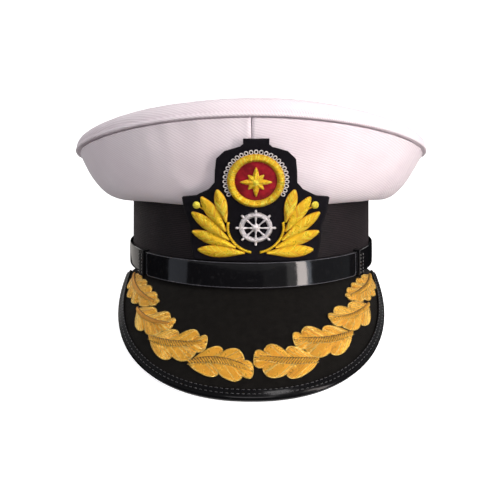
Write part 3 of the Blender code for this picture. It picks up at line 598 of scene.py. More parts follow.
# Bullion threads: their darker and lighter tone, how metallic they are and how rough
BULLION = {
    "bright_gold": ((0.96, 0.56, 0.010), (1.0, 0.76, 0.025), 0.4, 0.24),
    "lemon_gold": ((1.0, 0.82, 0.05), (1.0, 0.94, 0.14), 0.35, 0.24),
    "amber_gold": ((0.72, 0.30, 0.008), (0.92, 0.46, 0.015), 0.35, 0.30),
    "pale_gold": ((0.86, 0.43, 0.035), (0.98, 0.56, 0.065), 0.55, 0.24),
    "light_gold": ((0.98, 0.60, 0.10), (1.0, 0.78, 0.26), 0.7, 0.18),
    # deep_gold colours the layer under the gold cords: painted shade where it shows between them
    "deep_gold": ((0.42, 0.20, 0.04), (0.55, 0.30, 0.07), 0.5, 0.5),
    "copper": ((0.66, 0.29, 0.03), (0.84, 0.42, 0.06), 0.5, 0.28),
    "gold_shadow": ((0.10, 0.040, 0.008), (0.17, 0.072, 0.014), 0.3, 0.5),
    "silver_shadow": ((0.22, 0.20, 0.21), (0.36, 0.34, 0.35), 0.4, 0.4),
    "silver": ((0.80, 0.76, 0.78), (1.0, 0.97, 0.98), 0.45, 0.24),
}

LOOKS = {
    "twill_left": twill_material("twill_left", 38.0),
    "twill_right": twill_material("twill_right", 14.0),
    "twill_top": twill_material("twill_top", 42.0),
    "twill_piping": twill_material("twill_piping", 40.0, math.tau * WELT_RADIUS),
    "ribbed": ribbed_material("ribbed_braid"),
    "peak_felt": felt_material("peak_felt_nap", (0.0028, 0.0025, 0.0022), (0.0085, 0.0078, 0.0068)),
    "badge_felt": felt_material("badge_felt_nap", (0.003, 0.0026, 0.004), (0.009, 0.008, 0.012)),
    "patent": patent_material("patent_lacquer"),
    "binding_patent": patent_material("binding_lacquer", 0.0025, 0.16, 0.3),
    # A pale grey for the strap's cut edge line, partly a painted highlight along the edges
    "patent_edge_and_highlight": patent_material("patent_cut_edge_and_highlight", 0.05, 0.3),
    **{name: bullion_material(f"{name}_thread", *tones) for name, tones in BULLION.items()},
    "velvet": velvet_material("red_velvet"),
    "grey_thread": thread_material("grey_sewing_thread", (0.06, 0.06, 0.06), (0.22, 0.215, 0.21)),
    "waxed_thread": thread_material(
        "waxed_sewing_thread", (0.015, 0.015, 0.016), (0.075, 0.075, 0.08), 0.26
    ),
    "gilt": gilt_material("worn_gilt"),
}


# Meshes


def mix(a, b, share):
    return a + (b - a) * share


def shares(count):
    """Even steps from 0 to 1."""
    return [i / count for i in range(count + 1)]


def turns(count):
    """Even steps once round, in radians."""
    return [math.tau * i / count for i in range(count)]


def add_object(name, data):
    made = bpy.data.objects.new(name, data)
    bpy.context.scene.collection.objects.link(made)
    return made


def dress(made, slot, *nodes):
    """Sets a piece down in the resting pose, on the cap's one body, in place of its solids."""
    made.data.transform(CAP_TO_FRAME)
    bpy.context.scene.collection.objects.link(made)
    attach(made, "root")
    if nodes:
        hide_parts(*nodes)


def mesh_object(name, points, faces, uvs, looks, kinds=None, sharp_deg=50.0):
    mesh = bpy.data.meshes.new(name)
    mesh.from_pydata([tuple(point) for point in points], [], faces)
    layer = mesh.uv_layers.new(name="UVMap")
    layer.data.foreach_set("uv", [value for pair in uvs for value in pair])
    for look in looks:
        mesh.materials.append(LOOKS[look])
    if kinds:
        mesh.polygons.foreach_set("material_index", kinds)
    mesh.shade_smooth()
    mesh.set_sharp_from_angle(angle=math.radians(sharp_deg))
    return bpy.data.objects.new(name, mesh)


def grid_object(name, rows, us, vs, look, ring=False, middle=None):
    """A surface through rows of points; us and vs give each point's unrolled place."""
    count = len(rows[0])
    points = [point for row in rows for point in row]
    faces, uvs = [], []
    for i in range(len(rows) - 1):
        for j in range(count if ring else count - 1):
            k = (j + 1) % count
            faces.append((i * count + j, i * count + k, (i + 1) * count + k, (i + 1) * count + j))
            uvs += [(us[i][j], vs[i][j]), (us[i][j + 1], vs[i][j + 1])]
            uvs += [(us[i + 1][j + 1], vs[i + 1][j + 1]), (us[i + 1][j], vs[i + 1][j])]
    if middle is not None:
        points.append(middle)
        last = (len(rows) - 1) * count
        for j in range(count):
            faces.append((last + j, last + (j + 1) % count, len(points) - 1))
            uvs += [(us[-1][j], vs[-1][j]), (us[-1][j + 1], vs[-1][j + 1]), (0.0, 0.0)]
    return mesh_object(name, points, faces, uvs, [look])


def loft_object(name, loops, look, ring=False, sharp_deg=50.0):
    """A closed body through loops of as many points; a ring joins its last loop to its first."""
    count = len(loops[0])
    points = [point for loop in loops for point in loop]
    round_it = [0.0]
    for a, b in zip(loops[0], [*loops[0][1:], loops[0][0]]):
        round_it.append(round_it[-1] + (b - a).length)
    along = [0.0]
    for a, b in zip(loops, [*loops[1:], loops[0]]):
        along.append(along[-1] + (b[0] - a[0]).length)
    faces, uvs = [], []
    for i in range(len(loops) if ring else len(loops) - 1):
        here, there = i * count, (i + 1) % len(loops) * count
        for j in range(count):
            k = (j + 1) % count
            faces.append((here + j, here + k, there + k, there + j))
            uvs += [(along[i], round_it[j]), (along[i], round_it[j + 1])]
            uvs += [(along[i + 1], round_it[j + 1]), (along[i + 1], round_it[j])]
    if not ring:
        last = (len(loops) - 1) * count
        faces += [tuple(range(count))[::-1], tuple(range(last, last + count))]
        uvs += [(0.0, v) for v in round_it[:-1][::-1]]
        uvs += [(along[-2], v) for v in round_it[:-1]]
    return mesh_object(name, points, faces, uvs, [look], sharp_deg=sharp_deg)


def cloth_sheet(made, thickness):
    shell = made.modifiers.new("Cloth", "SOLIDIFY")
    shell.thickness = thickness
    shell.offset = -1.0
    shell.use_even_offset = True


# The looks in one embroidered piece, in order. BASE colours a layer under the cords and SHADOW dark strips
# and cords; both are painted shade.
STRAND, BASE, RIB, BRIGHT, SHADOW = range(5)


def cross_axes(path, ups, closed):
    """The two directions across a path at each of its points."""
    axes, count = [], len(path)
    for i, point in enumerate(path):
        before = path[i - 1] if i or closed else point
        after = path[(i + 1) % count] if i < count - 1 or closed else point
        run = (after - before).normalized()
        side = run.cross(ups[i] if isinstance(ups, list) else ups).normalized()
        axes.append((side, side.cross(run)))
    return axes


def beside(point, axes, turn, distance):
    """A point off a path, at an angle round it."""
    side, lift = axes
    return point + (side * math.cos(turn) + lift * math.sin(turn)) * distance


BADGE_GOLDS = ["bright_gold", "deep_gold", "amber_gold", "lemon_gold"]
OAK_GOLDS = ["pale_gold", "deep_gold", "copper", "light_gold", "gold_shadow"]


class Threads:
    """Cords gathered into one mesh; each face keeps the number of its look."""

    def __init__(self):
        self.points = []
        self.faces = []
        self.uvs = []
        self.kinds = []

    def quads(self, rows, kind=STRAND):
        """A plain surface through rows of points."""
        first, count = len(self.points), len(rows[0])
        self.points += [point for row in rows for point in row]
        for i in range(len(rows) - 1):
            for j in range(count - 1):
                a = first + i * count + j
                self.faces.append((a, a + 1, a + count + 1, a + count))
                self.uvs += [(0.0, 0.0)] * 4
                self.kinds.append(kind)

    def tube(self, path, radius, ups, kind=STRAND, sides=6, closed=False):
        """A round cord through a path, its thickness and its up direction fixed or given by point."""
        first, count = len(self.points), len(path)
        travelled = [0.0]
        for i, (point, axes) in enumerate(zip(path, cross_axes(path, ups, closed))):
            size = radius[i] if isinstance(radius, list) else radius
            self.points += [beside(point, axes, turn, size) for turn in turns(sides)]
            travelled.append(travelled[-1] + (path[(i + 1) % count] - point).length)
        for i in range(count if closed else count - 1):
            here, there = first + i * sides, first + (i + 1) % count * sides
            for k in range(sides):
                m = (k + 1) % sides
                self.faces.append((here + k, there + k, there + m, here + m))
                low, high = k / sides, (k + 1) / sides
                self.uvs += [(travelled[i], low), (travelled[i + 1], low)]
                self.uvs += [(travelled[i + 1], high), (travelled[i], high)]
                self.kinds.append(kind)
        if not closed:
            last = first + (count - 1) * sides
            self.faces += [tuple(range(first, first + sides)), tuple(range(last, last + sides))[::-1]]
            self.uvs += [(0.0, 0.0)] * sides + [(travelled[-2], 0.0)] * sides
            self.kinds += [kind, kind]

    def rope(self, path, radius, pitch, ups, kinds=(STRAND, STRAND), closed=False):
        """Two strands twisted round each other along a path."""
        path, ups = resampled(path, ups, pitch / 8, closed)
        axes, legs = cross_axes(path, ups, closed), len(path) if closed else len(path) - 1
        total = sum((path[(i + 1) % len(path)] - path[i]).length for i in range(legs))
        windings = round(total / pitch) if closed else total / pitch
        for strand, kind in zip((0.0, math.pi), kinds):
            wound = []
            for i, point in enumerate(path):
                wound.append(beside(point, axes[i], strand + math.tau * windings * i / legs, radius * 0.45))
            self.tube(wound, radius * 0.6, ups, kind, closed=closed)

    def finish(self, name, looks, slot, *nodes):
        dress(mesh_object(name, self.points, self.faces, self.uvs, looks, self.kinds, 70.0), slot, *nodes)


def resampled(path, ups, step, closed=False):
    """A path and its up directions at even steps."""
    ups = ups if isinstance(ups, list) else [ups] * len(path)
    if closed:
        path, ups = [*path, path[0]], [*ups, ups[0]]
    travelled = [0.0]
    for a, b in zip(path, path[1:]):
        travelled.append(travelled[-1] + (b - a).length)
    count = max(3, round(travelled[-1] / step))
    places, lifts, leg = [], [], 0
    for i in range(count if closed else count + 1):
        at = travelled[-1] * i / count
        while leg < len(path) - 2 and travelled[leg + 1] < at:
            leg += 1
        length = travelled[leg + 1] - travelled[leg]
        share = (at - travelled[leg]) / length if length else 0.0
        places.append(path[leg].lerp(path[leg + 1], share))
        lifts.append(ups[leg].lerp(ups[leg + 1], share).normalized())
    return places, lifts


def dashes(threads, path, ups, pitch, length, radius):
    """Sewn stitches along a path: each rises out of the cloth and dips back into it."""
    step = pitch / 8
    places, lifts = resampled(path, ups, step)
    covered = max(2, round(length / step))
    for first in range(0, len(places) - covered, 8):
        stitch, heights = places[first : first + covered + 1], lifts[first : first + covered + 1]
        shown = [
            place + up * radius * (1.6 * math.sin(math.pi * i / covered) - 0.5)
            for i, (place, up) in enumerate(zip(stitch, heights))
        ]
        threads.tube(shown, radius, heights)


# Head band and crown surfaces, as in the part


def three_way(front, side, back, bearing):
    mean = (front + back) / 4 + side / 2
    return mean + (front - back) / 2 * math.cos(bearing) + (mean - side) * math.cos(2 * bearing)


def band_axes(height):
    flare = BAND_FLARE * (1 - height / BAND_HEIGHT)
    return HEAD_HALF_WIDTH + BAND_WALL + flare, HEAD_HALF_DEPTH + BAND_WALL + flare


def band_normal(bearing):
    a, b = band_axes(BAND_HEIGHT)
    return Vector((b * math.sin(bearing), -a * math.cos(bearing), 0.0)).normalized()


def band_face(bearing, height, out=0.0):
    a, b = band_axes(height)
    place = Vector((a * math.sin(bearing), -b * math.cos(bearing), height))
    return place + band_normal(bearing) * out


def seam_point(bearing):
    reach = SEAM_FRONT_REACH if math.cos(bearing) > 0 else SEAM_BACK_REACH
    rise = three_way(SEAM_RISE_FRONT, SEAM_RISE_SIDE, SEAM_RISE_BACK, bearing)
    return Vector((SEAM_HALF_WIDTH * math.sin(bearing), -reach * math.cos(bearing), BAND_HEIGHT + rise))


def side_bend(column, bearing):
    return three_way(*(SIDE_BENDS[place][column] for place in ("front", "side", "back")), bearing)


def side_foot(bearing):
    return band_face(bearing, BAND_HEIGHT, GAP) + UP * GAP


def outwards(bearing):
    level = seam_point(bearing) - side_foot(bearing)
    level.z = 0.0
    return level.normalized()


def heading(bearing, degrees):
    angle = math.radians(degrees)
    return outwards(bearing) * math.cos(angle) + UP * math.sin(angle)


def bezier(a, b, c, d, share):
    rest = 1 - share
    return a * rest**3 + b * (3 * rest**2 * share) + c * (3 * rest * share**2) + d * share**3


def side_profile(bearing, rows):
    foot, seam = side_foot(bearing), seam_point(bearing)
    line = (seam - foot).length
    leave = heading(bearing, side_bend("leave_deg", bearing)) * (side_bend("leave_share", bearing) * line)
    meet = heading(bearing, side_bend("meet_deg", bearing)) * (side_bend("meet_share", bearing) * line)
    flange = band_face(bearing, BAND_HEIGHT, -BAND_WALL) + UP * GAP
    curve = [bezier(foot, foot + leave, seam - meet, seam, share) for share in shares(rows)]
    return [flange, *curve]


def seam_frame(bearing):
    degrees = side_bend("meet_deg", bearing)
    return heading(bearing, degrees), heading(bearing, degrees - 90)


def welt_centre(bearing):
    along, out = seam_frame(bearing)
    return seam_point(bearing) + along * (GAP + WELT_RADIUS) - out * (WELT_RADIUS - WELT_PROUD)


def piping_lap(bearing, degrees):
    """A point of the top cloth where it laps over the piping."""
    along, out = seam_frame(bearing)
    turn = math.radians(degrees)
    reach = WELT_RADIUS + CLOTH - LAP_SINK
    return welt_centre(bearing) + (out * math.cos(turn) + along * math.sin(turn)) * reach


def top_roll(bearing, share):
    """A point of the top panel's rolled edge, from the piping to its highest line."""
    along, out = seam_frame(bearing)
    start = seam_point(bearing) + along * (2 * GAP + 2 * WELT_RADIUS)
    radius = three_way(ROLL_RADIUS_FRONT, ROLL_RADIUS_SIDE, ROLL_RADIUS_BACK, bearing)
    turn = mix(side_bend("meet_deg", bearing) - 90, 90.0, share)
    return start - out * radius + heading(bearing, turn) * radius


def top_dome(bearing, share):
    front, side, back = (top_roll(b, 1.0).z for b in (0.0, math.pi / 2, math.pi))
    rim = top_roll(bearing, 1.0)
    mean = (front + back) / 4 + side / 2
    tilt = (front - back) / 2 * math.cos(bearing)
    saddle = (mean - side) * math.cos(2 * bearing)
    correction = rim.z - (mean + tilt + saddle)
    skin = mean + tilt * share + (saddle + correction) * share**2
    return Vector((rim.x * share, rim.y * share, skin + DOME_RISE * (1 - share**2)))


def smooth_noise(x, y, z=0.0):
    return noise.noise(Vector((x, y, z)))


def build_band():
    count = 360
    # Rows of points in millimetres, closer together at both rims
    heights = [0.0, 0.15, 0.6] + [mix(1.5, 47.5, share) for share in shares(20)] + [48.4, 48.85, 49.0]
    rows, us, vs = [], [], []
    for height in heights:
        height *= MM
        end = min(height, BAND_HEIGHT - height)
        inset = BAND_EDGE * max(0.0, 1 - end / BAND_EDGE) ** 2
        rows.append([band_face(bearing, height, -inset) for bearing in turns(count)])
        us.append([turn * (HEAD_HALF_WIDTH + HEAD_HALF_DEPTH) / 2 for turn in (*turns(count), math.tau)])
        vs.append([height] * (count + 1))
    band = grid_object("head_band_braid", rows, us, vs, "ribbed", ring=True)
    dress(band, "band_cloth", "head_band")
    cloth_sheet(band, BAND_WALL)


# Crown


def fold(bearing, share, reach, ridge_rise):
    """How far the side cloth stands in or out: puckers, dents, and the seam at a panel's edge.

    The last number of each noise call only keeps one pattern apart from the next.
    """
    around = bearing * HEAD_HALF_WIDTH * 1.3
    near_seam = math.exp(-(1 - share) / PUCKER_FADE_SHARE)
    pucker = smooth_noise(around / PUCKER_PITCH, share * 1.4, 3.0) * near_seam * PUCKER_DEPTH * 2
    open_cloth = math.sin(math.pi * min(share, 1.0)) ** 0.8
    dent = smooth_noise(around / DENT_PITCH, share * 2.2, 7.0) * open_cloth * DENT_DEPTH
    crease = smooth_noise(around / (DENT_PITCH * 0.35), share * 5.0, 11.0) * open_cloth * DENT_DEPTH * 0.3
    groove = -GROOVE_DEPTH * math.exp(-((reach / GROOVE_HALF_WIDTH) ** 2))
    ridge = ridge_rise * math.exp(-(((reach - RIDGE_OFFSET) / RIDGE_HALF_WIDTH) ** 2))
    return (pucker + dent + crease) * min(1.0, reach / FOLD_FADE) + (groove + ridge) * mix(0.3, 1.0, share)


def quarter_bearings(first):
    """Even steps across a quarter of the crown, closer together beside its seams."""
    trim = GAP / 2 / HEAD_HALF_WIDTH
    close = [d * MM / SEAM_HALF_WIDTH for d in (0.0, 0.3, 0.6, 0.9, 1.3, 1.7, 2.2, 2.8, 3.5, 4.3)]
    start, end = first + trim, first + math.pi / 2 - trim
    inner = [mix(start + close[-1], end - close[-1], i / SIDE_COLUMNS) for i in range(1, SIDE_COLUMNS)]
    return [*(start + c for c in close), *inner, *(end - c for c in reversed(close))]


def push_out(made, depths):
    """Moves each point of a mesh along its own normal."""
    normals = [vertex.normal.copy() for vertex in made.data.vertices]
    for vertex, normal, depth in zip(made.data.vertices, normals, depths):
        vertex.co += normal * depth


def build_crown_sides():
    for index, name in enumerate(("front_left", "back_left", "back_right", "front_right")):
        bearings = quarter_bearings(index * math.pi / 2)
        columns = [side_profile(bearing, SIDE_ROWS) for bearing in bearings]
        rows = list(zip(*columns))
        mean = (HEAD_HALF_WIDTH + SEAM_HALF_WIDTH) / 2
        us = [[bearing * mean for bearing in bearings] for _ in rows]
        vs = [[0.0] * len(bearings)]
        for low, high in zip(rows, rows[1:]):
            vs.append([v + (b - a).length for v, a, b in zip(vs[-1], low, high)])
        # The twills are named by the side on which the viewer sees them
        look = "twill_right" if "left" in name else "twill_left"
        rise = RIDGE_RISE_LEFT if "left" in name else RIDGE_RISE_RIGHT
        made = grid_object(f"crown_{name}_cloth", rows, us, vs, look)
        depths = []
        for i in range(len(rows)):
            share = max(0.0, (i - 1) / SIDE_ROWS)
            for bearing in bearings:
                edge = min(bearing - bearings[0], bearings[-1] - bearing) * SEAM_HALF_WIDTH
                depths.append(fold(bearing, share, edge, rise) if i else 0.0)
        push_out(made, depths)
        dress(made, "white_cloth", f"crown_{name}")
        cloth_sheet(made, CLOTH)


def build_crown_piping():
    bearings = turns(TOP_COLUMNS)
    threads = Threads()
    ups = [seam_frame(bearing)[0] for bearing in bearings]
    squeezed = WELT_RADIUS - LAP_SINK - GAP / 3
    threads.tube([welt_centre(bearing) for bearing in bearings], squeezed, ups, STRAND, 14, closed=True)
    threads.finish("crown_piping", ["twill_piping"], "white_cloth", "crown_welt")


def build_crown_top():
    count, roll_rows, dome_rows = TOP_COLUMNS, 22, 26
    bearings = turns(count)
    rows = [[piping_lap(bearing, turn) for bearing in bearings] for turn in LAP_TURNS_DEG]
    rows += [[top_roll(bearing, share) for bearing in bearings] for share in shares(roll_rows)]
    for i in range(1, dome_rows):
        rows.append([top_dome(bearing, 1 - i / dome_rows) for bearing in bearings])
    middle = top_dome(0.0, 0.0)
    reach = [0.0] * count
    reaches = [reach]
    for low, high in zip(rows, rows[1:]):
        reach = [r + (b - a).length for r, a, b in zip(reach, low, high)]
        reaches.append(reach)
    rim = [r + (point - middle).length for r, point in zip(reach, rows[-1])]
    us, vs = [], []
    for reach in reaches:
        out = [total - r for total, r in zip(rim, reach)]
        us.append([out[j % count] * math.sin(bearings[j % count]) for j in range(count + 1)])
        vs.append([-out[j % count] * math.cos(bearings[j % count]) for j in range(count + 1)])
    made = grid_object("crown_top_cloth", rows, us, vs, "twill_top", ring=True, middle=middle)
    depths = []
    for i, reach in enumerate(reaches):
        for j, r in enumerate(reach):
            along = bearings[j] * SEAM_HALF_WIDTH
            pull = math.exp(-r / TOP_PUCKER_REACH) * TOP_PUCKER_DEPTH
            pucker = smooth_noise(along / TOP_PUCKER_PITCH, r / (20 * MM), 5.0) * pull
            slack = smooth_noise(us[i][j] / TOP_SLACK_PITCH, vs[i][j] / TOP_SLACK_PITCH, 2.0)
            depths.append(pucker + slack * min(1.0, r / TOP_SLACK_START) * TOP_SLACK_DEPTH)
    push_out(made, [*depths, 0.0])
    dress(made, "white_cloth", "crown_top")
    cloth_sheet(made, CLOTH)


# Peak and binding


def peak_slope(bearing):
    return math.radians(mix(PEAK_SLOPE_FRONT_DEG, PEAK_SLOPE_SIDE_DEG, 1 - math.cos(bearing)))


def peak_length(bearing):
    share = abs(bearing) / math.radians(PEAK_SPREAD_DEG)
    return PEAK_LENGTH * max(1 - share**PEAK_FULLNESS, 0.0) ** PEAK_TAPER


def peak_axes(bearing):
    slope, out = peak_slope(bearing), band_normal(bearing)
    return out * math.cos(slope) - UP * math.sin(slope), out * math.sin(slope) + UP * math.cos(slope)


def peak_face(bearing, distance, height=0.0):
    down, square = peak_axes(bearing)
    length = peak_length(bearing)
    share = distance / length if length else 0.0
    bulge = PEAK_BULGE * 4 * share * (1 - share) * length / PEAK_LENGTH
    return band_face(bearing, PEAK_SEAT, GAP) + down * distance + square * (height + bulge)


def peak_bearings():
    corner = (PEAK_CORNER / PEAK_LENGTH) ** (1 / PEAK_TAPER)
    last = math.radians(PEAK_SPREAD_DEG) * (1 - corner) ** (1 / PEAK_FULLNESS)
    return [mix(-last, last, share) for share in shares(PEAK_COLUMNS)]


def build_peak():
    sections = []
    for bearing in peak_bearings():
        length = peak_length(bearing)
        stops = [length * i / PEAK_ROWS for i in range(PEAK_ROWS + 1)]
        upper = [peak_face(bearing, stop) for stop in stops]
        lower = [peak_face(bearing, stop, -PEAK_THICKNESS) for stop in stops[:0:-1]]
        heel = upper[0] - UP * (PEAK_THICKNESS / math.cos(peak_slope(bearing)))
        sections.append([*upper, *lower, heel][::-1])
    dress(loft_object("peak_felt_cover", sections, "peak_felt"), "peak_felt", "peak")


def edge_frame(bearing):
    nudge = STEP / 20
    place = peak_face(bearing, peak_length(bearing))
    before = peak_face(bearing - nudge, peak_length(bearing - nudge))
    after = peak_face(bearing + nudge, peak_length(bearing + nudge))
    run = (after - before).normalized()
    down = (place - peak_face(bearing, peak_length(bearing) * 0.9)).normalized()
    square = run.cross(down).normalized()
    square = square if square.z > 0 else -square
    away = square.cross(run).normalized()
    return place, away if away.dot(down) > 0 else -away, square


def arc(centre_x, centre_y, radius, from_deg, to_deg, count):
    angles = [math.radians(mix(from_deg, to_deg, share)) for share in shares(count)]
    return [(centre_x + radius * math.cos(t), centre_y + radius * math.sin(t)) for t in angles]


def build_binding():
    inner, outer = BINDING_GAP, BINDING_GAP + BINDING_THICKNESS
    top, foot = 0.0, -PEAK_THICKNESS
    lip = BINDING_THICKNESS * 0.4
    channel = [
        *arc(-BINDING_WIDTH + lip, top + outer - lip, lip, 180.0, 90.0, 3),
        (-BINDING_WIDTH / 2, top + outer),
        *arc(outer - BINDING_ROUND, top + outer - BINDING_ROUND, BINDING_ROUND, 90.0, 0.0, 6),
        *arc(outer - BINDING_ROUND, foot - outer + BINDING_ROUND, BINDING_ROUND, 0.0, -90.0, 6),
        (-BINDING_WIDTH, foot - outer),
        (-BINDING_WIDTH, foot - inner),
        (inner, foot - inner),
        (inner, top + inner),
        (-BINDING_WIDTH, top + inner),
    ]
    sections, ups = [], []
    lines = {inset: [] for inset in BINDING_STITCH_INSETS}
    for bearing in peak_bearings():
        place, away, square = edge_frame(bearing)
        sections.append([place + away * across + square * height for across, height in channel])
        ups.append(square)
        for inset, line in lines.items():
            line.append(place - away * (BINDING_WIDTH - inset) + square * outer)
    dress(loft_object("peak_binding_leather", sections, "binding_patent"), "patent_leather", "peak_binding")
    threads = Threads()
    for line in lines.values():
        dashes(threads, line, ups, BINDING_STITCH_PITCH, BINDING_STITCH_LENGTH, STITCH_RADIUS)
    threads.finish("peak_binding_stitches", ["waxed_thread"], "patent_leather")


# Chin strap, slides and buttons


def strap_section(bearing, inner):
    outer, foot, top = inner + STRAP_THICKNESS, STRAP_FOOT, STRAP_FOOT + STRAP_WIDTH
    low = arc(outer - STRAP_ROUND, foot + STRAP_ROUND, STRAP_ROUND, -90.0, 0.0, 4)
    high = arc(outer - STRAP_ROUND, top - STRAP_ROUND, STRAP_ROUND, 0.0, 90.0, 4)
    middle = []
    for share in shares(8)[1:-1]:
        swell = STRAP_PILLOW * math.sin(math.pi * share)
        middle.append((outer + swell, mix(foot + STRAP_ROUND, top - STRAP_ROUND, share)))
    section = [(inner, foot), *low, *middle, *high, (inner, top)]
    return [band_face(bearing, height, out) for out, height in section]


def build_strap():
    under = GAP + SLIDE_BACK + GAP
    over = under + STRAP_THICKNESS + GAP
    straps = (("strap_under", STRAP_UNDER_DEG, under), ("strap_over", STRAP_OVER_DEG, over))
    for name, reach, inner in straps:
        bearings = [math.radians(mix(-reach, reach, share)) for share in shares(2 * round(reach))]
        sections = [strap_section(bearing, inner) for bearing in bearings]
        dress(loft_object(f"{name}_leather", sections, "patent", sharp_deg=60.0), "patent_leather", name)
    build_strap_line(over + STRAP_THICKNESS)
    for name, side in (("left", 1), ("right", -1)):
        build_slide(name, side, over + STRAP_THICKNESS + GAP)
        build_button(name, side, under + STRAP_THICKNESS + GAP)


def rounded_box(half_width, low, high, corner_width, corner_height):
    """The outline of a rectangle with round corners, its long sides level."""
    across, up = half_width - corner_width, high - corner_height
    outline = []
    for x, y, first in ((-across, low + corner_height, 180.0), (across, low + corner_height, 270.0),
                        (across, up, 0.0), (-across, up, 90.0)):
        turned = arc(0.0, 0.0, 1.0, first, first + 90.0, 4)
        outline += [(x + corner_width * dx, y + corner_height * dy) for dx, dy in turned]
    return outline


def build_strap_line(out):
    """The strap's pale edge line, which runs along both sides and round its two ends: the leather's cut
    edge, its pale grey partly a painted highlight.
    """
    inset, corner = STRAP_LINE_RADIUS, STRAP_LINE_CORNER
    outline = rounded_box(
        math.radians(STRAP_LINE_DEG), STRAP_FOOT + inset, STRAP_FOOT + STRAP_WIDTH - inset,
        corner / HEAD_HALF_DEPTH, corner,
    )
    path, ups = [], []
    for (bearing, height), (next_bearing, next_height) in zip(outline, [*outline[1:], outline[0]]):
        steps = max(1, round(abs(next_bearing - bearing) / math.radians(1.0)))
        for i in range(steps):
            turn = mix(bearing, next_bearing, i / steps)
            path.append(band_face(turn, mix(height, next_height, i / steps), out - 0.08 * MM))
            ups.append(band_normal(turn))
    threads = Threads()
    threads.tube(path, STRAP_LINE_RADIUS, ups, closed=True)
    threads.finish("strap_over_edge", ["patent_edge_and_highlight"], "patent_leather")


def build_slide(name, side, front):
    first, last = (side * step * STEP for step in SLIDE_STEPS)
    middle = (first + last) / 2
    run = (band_face(last, 0.0) - band_face(first, 0.0)).normalized()
    foot, top = STRAP_FOOT - GAP, STRAP_FOOT + STRAP_WIDTH + GAP
    low, high, proud = foot - SLIDE_EDGE, top + SLIDE_EDGE, front + SLIDE_FRONT

    def flat_face(height, out):
        return (band_face(first, height, out) + band_face(last, height, out)) / 2

    hole = [(GAP + SLIDE_BACK, foot), (front, foot), (front, top), (GAP + SLIDE_BACK, top)]
    rim = [(GAP, low), (proud, low), (proud, high), (GAP, high)]
    loops = []
    for corners, ends in ((hole, (1.0, -1.0)), (rim, (-1.0, 1.0))):
        for end in ends:
            aside = run * (end * side * SLIDE_LENGTH / 2)
            loops.append([flat_face(height, out) + aside for out, height in corners])
    made = loft_object(f"strap_slide_{name}_leather", loops, "patent", ring=True, sharp_deg=30.0)
    bevel = made.modifiers.new("Rounded", "BEVEL")
    bevel.width = SLIDE_BEVEL
    bevel.segments = 3
    dress(made, "patent_leather", f"strap_slide_{name}")
    threads = Threads()
    normal = band_normal(middle)
    for offset in (-SLIDE_STITCH_OFFSET, SLIDE_STITCH_OFFSET):
        line = [flat_face(mix(low, high, i / 10), proud) + run * offset for i in range(1, 10)]
        dashes(threads, line, normal, SLIDE_STITCH_PITCH, SLIDE_STITCH_LENGTH, STITCH_RADIUS)
    threads.finish(f"strap_slide_{name}_stitches", ["grey_thread"], "patent_leather")


def build_button(name, side, out):
    """A domed gilt button with a roped rim."""
    bearing = math.radians(side * BUTTON_DEG)
    normal = band_normal(bearing)
    pose = Matrix.Translation(band_face(bearing, STRAP_FOOT + STRAP_WIDTH / 2, out))
    pose @= normal.to_track_quat("Z", "Y").to_matrix().to_4x4()
    rim = BUTTON_RADIUS - BUTTON_ROPE_RADIUS
    dome = rim - BUTTON_ROPE_RADIUS * 1.1
    profile = [
        (BUTTON_RADIUS - 0.3 * MM, 0.0),
        (BUTTON_RADIUS, 0.25 * BUTTON_EDGE),
        (BUTTON_RADIUS, BUTTON_EDGE),
        (rim, BUTTON_EDGE + 0.1 * MM),
        (dome, BUTTON_EDGE),
    ]
    for i in range(1, 10):
        rise = math.radians(5.0 + 8.5 * i)
        profile.append((dome * math.cos(rise), BUTTON_EDGE + BUTTON_DOME * math.sin(rise)))
    ring = [*turns(48), math.tau]
    threads = Threads()
    rows = []
    for radius, height in profile:
        rows.append([pose @ Vector((radius * math.cos(t), radius * math.sin(t), height)) for t in ring])
    rows.append([pose @ Vector((0.0, 0.0, BUTTON_EDGE + BUTTON_DOME))] * len(ring))
    rows.insert(0, [pose @ Vector((0.0, 0.0, 0.0))] * len(ring))
    threads.quads(rows)
    lift = BUTTON_EDGE + 0.25 * MM
    path = [pose @ Vector((rim * math.cos(t), rim * math.sin(t), lift)) for t in turns(60)]
    threads.rope(path, BUTTON_ROPE_RADIUS, BUTTON_ROPE_PITCH, normal, closed=True)
    threads.finish(f"strap_button_{name}_gilt", ["gilt"], "gilt_button", f"strap_button_{name}")


# Badge patch


def patch_foot():
    return STRAP_FOOT + STRAP_WIDTH + SLIDE_EDGE


def patch_set_back(across):
    return PATCH_RADIUS * (1 - math.cos(across / PATCH_RADIUS))


def patch_line():
    return -band_face(0.0, patch_foot()).y + GAP + PATCH_THICKNESS


def patch_section(above, lean):
    turned = min(max(above - PATCH_UPRIGHT, 0.0), PATCH_BEND_RADIUS * lean)
    angle = turned / PATCH_BEND_RADIUS
    straight = above - PATCH_UPRIGHT - turned
    forward = PATCH_BEND_RADIUS * (1 - math.cos(angle)) + straight * math.sin(angle)
    rise = PATCH_UPRIGHT + PATCH_BEND_RADIUS * math.sin(angle) + straight * math.cos(angle)
    return forward, rise, angle


def patch_lean():
    """The least angle at which the leaning part of the patch clears the crown behind it."""
    crown = []
    for i in range(-9, 10):
        for point in side_profile(math.radians(3.0 * i), 20):
            across, rise = point.x - PATCH_SHIFT, point.z - patch_foot()
            if abs(across) < PATCH_HALF_WIDTH and rise < PATCH_HEIGHT:
                crown.append((-point.y + patch_set_back(across) - patch_line(), rise))
    lean, clear = 0.0, False
    while not clear:
        lean += math.radians(0.1)
        forward, rise, _ = patch_section(PATCH_UPRIGHT + PATCH_BEND_RADIUS * lean, lean)
        ahead = [(f - forward) * math.cos(lean) - (r - rise) * math.sin(lean) for f, r in crown]
        clear = max(ahead) < -PATCH_THICKNESS - GAP
    return lean


PATCH_LEAN = patch_lean()


